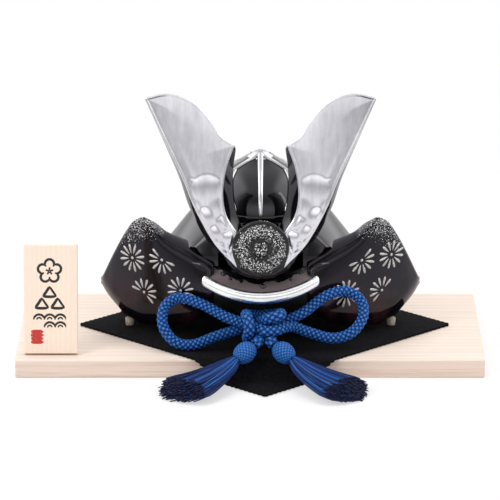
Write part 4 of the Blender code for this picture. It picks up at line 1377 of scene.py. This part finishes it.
def crest_shield(finish):
    """Rounded plate behind the horns, with a slightly ragged hand-trimmed lower edge."""
    around = 160
    start = math.acos(shield_half_cut / shield_radius)
    loop = []
    for step in range(around + 1):
        turn = start + (2 * math.pi - 2 * start) * step / around
        ragged = 0.35 * math.sin(turn * 23) * math.sin(turn * 7 + 1) * max(0.0, -math.cos(turn))
        radius = (shield_radius + ragged) * MM
        loop.append((radius * math.sin(turn), radius * math.cos(turn)))
    # Size against the full outline and depth behind the front, in mm, of each ring.
    levels = [(0.2, 0.4), (0.90, 0.4), (0.97, 0.7), (1.0, 1.6), (1.0, 7.6), (0.97, 8.7), (0.9, 9.0),
              (0.2, 9.0)]
    verts = []
    for size, depth in levels:
        for x, z in loop:
            verts.append(helmet_spot(x * size, crest_front + depth * MM, shield_height * MM + z * size))
    count = len(loop)
    last = (len(levels) - 1) * count
    faces = band(len(levels), count, inward=True)
    faces += [tuple(range(count)), tuple(range(last, last + count))[::-1]]
    shield = new_piece("crest_shield", verts, faces, finish)
    turn_outward(shield)
    return shield


horn_silver = Finish("satin_platinum", Metallic=1.0)
horn_drift = horn_silver.grain(34.0, 4.0, 0.55)
horn_brush = horn_silver.noise(horn_silver.place((240, 240, 50), turn=(0, 0.6, 0)), 1.0, 4.0, 0.65)
horn_silver.put("Base Color", horn_silver.ramp(horn_drift * 0.5 + horn_brush * 0.5, [
    (0.3, paint(198, 197, 203)), (0.5, paint(219, 218, 224)), (0.7, paint(238, 237, 242)),
]))
horn_silver.put("Roughness", horn_drift * 0.14 + 0.17)
horn_silver.bump(horn_drift + horn_brush * 0.35, 0.0012, 0.14)
horn_form = horn_face()
crest_pieces = [crest_shield(glaze)]
for horn_side, horn_word in ((-1, "left"), (1, "right")):
    crest_pieces.append(crest_horn(horn_side, horn_word, horn_form, horn_silver, glaze))

# Rosette: a turned chrysanthemum of the same clay on a round backing, glazed black. Its
# petals and boss are stippled with platinum.
rosette_middle = helmet_spot(0, crest_front - 0.3 * MM, 66.2 * MM)
rosette_petals = 16


def rosette_spot(radius, turn, rise):
    """Spot at a radius and a turn from the rosette's top, with its rise before the crest, in mm."""
    return rosette_middle + Vector((radius * math.sin(turn), -rise, radius * math.cos(turn))) * MM


def rosette_disc(finish):
    """The flower's face from its boss over the petals' ridges to the backing's rounded rim."""
    around = 240
    turns = [2 * math.pi * step / around for step in range(around)]
    radii = ([0.0, 1.2, 2.4, 3.2, 3.8, 4.3, 4.9, 5.6, 6.4, 7.2]
             + [8.0 + 0.6 * step for step in range(12)] + [15.0, 15.4])
    verts = []
    for radius in radii:
        for turn in turns:
            lobe = abs(math.cos(turn * rosette_petals / 2))
            edge = 0.95 + 0.05 * lobe ** 0.6
            if radius < 4.4:
                rise = 5.3 + 1.6 * math.sqrt(max(0.0, 1 - (radius / 4.6) ** 2))
            elif radius < 7.8:
                rise = 5.3 - 0.7 * math.sin(math.pi * (radius - 4.4) / 3.4)
            else:
                out = (radius - 7.8) / 7.6
                crown = math.sqrt(max(0.0, 1 - ((out - 0.5) / 0.52) ** 2))
                rise = 3.2 + 3.0 * crown * (0.62 + 0.38 * lobe ** 0.5)
            verts.append(rosette_spot(radius * (edge if radius > 8 else 1.0), turn, rise))
    back = [(15.2, 2.4), (15.9, 2.7), (17.6, 2.7), (18.1, 2.3), (18.3, 1.6), (18.3, 0.2), (17.9, 0.0)]
    for radius, rise in back:
        verts += [rosette_spot(radius, turn, rise) for turn in turns]
    rings = len(radii) + len(back)
    faces = band(rings, around) + [tuple(range((rings - 1) * around, rings * around))]
    disc = new_piece("rosette_disc", verts, faces, finish)
    turn_outward(disc, 0.01 * MM)
    return disc


stipple = Finish("stippled_glaze", IOR=1.47)
stipple_place = stipple.place()
away = stipple.node("VectorMath", {"operation": "SUBTRACT"}, {
    0: stipple_place, 1: tuple(rosette_middle),
}, "Vector")
flat_away = stipple.node("VectorMath", {"operation": "MULTIPLY"}, {0: away, 1: (1, 0, 1)}, "Vector")
radius_part = stipple.node("VectorMath", {"operation": "LENGTH"}, {0: flat_away}, "Value")
past_groove = stipple.limit(radius_part, 6.6 * MM, 9.8 * MM)
on_petals = past_groove * stipple.limit(16.3 * MM - radius_part, 0.0, 0.8 * MM)
on_boss = stipple.limit(5.2 * MM - radius_part, 0.0, 2.2 * MM)
dust_share = on_petals * 0.85 + on_boss * 0.7 + 0.06
coarse_dots = stipple.dots(stipple_place, 980.0, dust_share, 0.4)
dusted = coarse_dots + stipple.dots(stipple_place, 1500.0, dust_share * 0.5)
stipple.put("Base Color", stipple.blend(dusted, paint(6, 5, 7), paint(248, 248, 248)))
stipple.put("Metallic", dusted * 0.15)
stipple.put("Roughness", dusted * 0.3 + 0.12)
rosette = rosette_disc(stipple)

# Feet: four small stubs of bare pale clay that keep the glaze off the kiln shelf.
foot_spots = {
    "foot_left": (-85.5, -9.0), "foot_right": (85.5, -9.0), "foot_back_left": (-45.0, 53.5),
    "foot_back_right": (45.0, 53.5),
}
foot_height = 5.4 * MM
clay = Finish("bare_clay", Roughness=0.85)
clay_grain = clay.grain(700.0, 4.0, 0.7)
clay.put("Base Color", clay.ramp(clay_grain, [
    (0.3, paint(178, 162, 146)), (0.6, paint(214, 202, 188)), (0.8, paint(232, 224, 214)),
]))
clay.bump(clay_grain, 0.0008, 0.6)


def clay_stub(name, x, y, finish):
    """One pinched stub on the felt, wider at its top and rounded at both ends."""
    bpy.ops.object.select_all(action="DESELECT")
    bpy.ops.mesh.primitive_cone_add(vertices=28, radius1=2.5 * MM, radius2=3.0 * MM, depth=foot_height)
    stub = bpy.context.object
    stub.name = "stub_" + name
    bpy.ops.object.mode_set(mode="EDIT")
    bpy.ops.mesh.select_all(action="SELECT")
    bpy.ops.mesh.bevel(offset=0.8 * MM, segments=3)
    bpy.ops.object.mode_set(mode="OBJECT")
    chance = random.Random(len(name))
    for vertex in stub.data.vertices:
        turn = math.atan2(vertex.co.y, vertex.co.x)
        uneven = 1 + 0.05 * math.sin(3 * turn + x) + chance.uniform(-0.012, 0.012)
        vertex.co = helmet_spot(x * MM + vertex.co.x * uneven, helmet_y + y * MM + vertex.co.y * uneven,
                                foot_height / 2 + vertex.co.z)
    stub.data.materials.append(finish.material)
    bpy.ops.object.shade_smooth_by_angle(angle=math.radians(40))
    stub.select_set(False)
    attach(stub, "root")
    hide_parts(name)
    return stub


for foot_name, (x, y) in foot_spots.items():
    clay_stub(foot_name, x, y, clay)

for piece in helmet_pieces:
    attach(piece, "root")
    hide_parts("helmet_body")
for piece in crest_pieces:
    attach(piece, "root")
    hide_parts("crest_horns")
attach(rosette, "root")
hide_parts("crest_rosette")

# Studio: a white sweep under the board, three soft boxes and a white room that the glaze and
# the platinum reflect, darker behind the camera.
bpy.ops.object.select_all(action="DESELECT")
bpy.ops.mesh.primitive_plane_add(size=8.0, location=(0, 0, 0))
sweep = bpy.context.object
sweep.name = "studio_sweep"
sweep_finish = Finish("white_sweep", Roughness=0.9)
sweep_finish.put("Base Color", (0.88, 0.88, 0.88))
light_path = sweep_finish.node("LightPath", output="Is Camera Ray")
glossy_path = sweep_finish.node("LightPath", output="Is Glossy Ray")
glow = sweep_finish.tree.nodes.new("ShaderNodeEmission")
glow.inputs["Strength"].default_value = 1.0
mixer = sweep_finish.tree.nodes.new("ShaderNodeMixShader")
floor_spot = sweep_finish.node("TexCoord", output="Object")
floor_away = sweep_finish.node("VectorMath", {"operation": "LENGTH"}, {0: floor_spot}, "Value")
seen = (light_path + glossy_path) * (sweep_finish.limit(floor_away, 0.3, 0.8) * 0.45 + 0.55)
far_front = sweep_finish.limit(sweep_finish.parts(floor_spot)[1] * -1, 0.28, 0.75) * glossy_path
glow_colour = sweep_finish.blend(far_front, (1.0, 1.0, 1.0), (0.66, 0.66, 0.67))
sweep_finish.tree.links.new(glow_colour.socket, glow.inputs["Color"])
sweep_finish.tree.links.new(seen.socket, mixer.inputs[0])
sweep_finish.tree.links.new(sweep_finish.shader.outputs[0], mixer.inputs[1])
sweep_finish.tree.links.new(glow.outputs[0], mixer.inputs[2])
surface = sweep_finish.tree.nodes["Material Output"].inputs["Surface"]
sweep_finish.tree.links.new(mixer.outputs[0], surface)
sweep.data.materials.append(sweep_finish.material)
sweep.select_set(False)

room = bpy.data.worlds.new("white_room")
bpy.context.scene.world = room
room.use_nodes = True
room_tree = room.node_tree
background = room_tree.nodes["Background"]


def room_node(kind, **settings):
    """Add a node with its settings to the room's shader."""
    node = room_tree.nodes.new("ShaderNode" + kind)
    for label, value in settings.items():
        setattr(node, label, value)
    return node


paths = room_node("LightPath")
direction = room_node("TexCoord")
parts = room_node("SeparateXYZ")
room_tree.links.new(direction.outputs["Generated"], parts.inputs[0])
front = Tone(room_tree, parts.outputs["Y"]) * -1.0
high = Tone(room_tree, parts.outputs["Z"])
across = Tone(room_tree, parts.outputs["X"])


def room_limit(tone, low, high, start=0.0, end=1.0):
    """Runs smoothly from start to end while the tone goes from low to high."""
    node = room_node("MapRange", clamp=True, interpolation_type="SMOOTHSTEP")
    room_tree.links.new(tone.socket, node.inputs[0])
    for slot, value in zip(node.inputs[1:5], (low, high, start, end)):
        slot.default_value = value
    return Tone(room_tree, node.outputs[0])


shade = room_limit(front, 0.1, 0.8, 1.1, 0.3)
front_panel = room_limit(front, 0.3, 0.85) * room_limit(high, -0.05, 0.4) * room_limit(0.8 - high, 0.0, 0.3)
beside = room_limit(across * across, 0.1, 0.3) * room_limit(high, 0.1, 0.3)
side_tent = beside * room_limit(0.3 - front, 0.0, 0.3)
glossy_room = shade + front_panel * 1.2 + side_tent * 1.7
camera_ray = Tone(room_tree, paths.outputs["Is Camera Ray"])
glossy_ray = Tone(room_tree, paths.outputs["Is Glossy Ray"])
strength = camera_ray + glossy_ray * glossy_room + (1 - camera_ray) * (1 - glossy_ray) * 0.62
room_tree.links.new(strength.socket, background.inputs["Strength"])
background.inputs["Color"].default_value = (1.0, 1.0, 1.0, 1.0)


def soft_box(name, place, size, power):
    """A rectangular lamp turned to the helmet, and mirrored in it unless it hangs high."""
    lamp = bpy.data.lights.new(name, "AREA")
    lamp.shape = "RECTANGLE"
    lamp.size = size[0]
    lamp.size_y = size[1]
    lamp.energy = power
    box = bpy.data.objects.new(name, lamp)
    bpy.context.scene.collection.objects.link(box)
    box.location = place
    box.rotation_euler = (Vector((0, 0, 0.06)) - Vector(place)).to_track_quat("-Z", "Y").to_euler()
    box.visible_glossy = place[2] < 1.3


soft_box("left_soft_box", (-1.1, -0.8, 1.1), (0.7, 1.0), 11.0)
soft_box("right_soft_box", (1.2, -0.5, 1.0), (0.5, 1.0), 6.0)
soft_box("top_soft_box", (0.0, 0.35, 1.5), (1.0, 0.6), 9.0)

bpy.context.scene.view_settings.view_transform = "Standard"
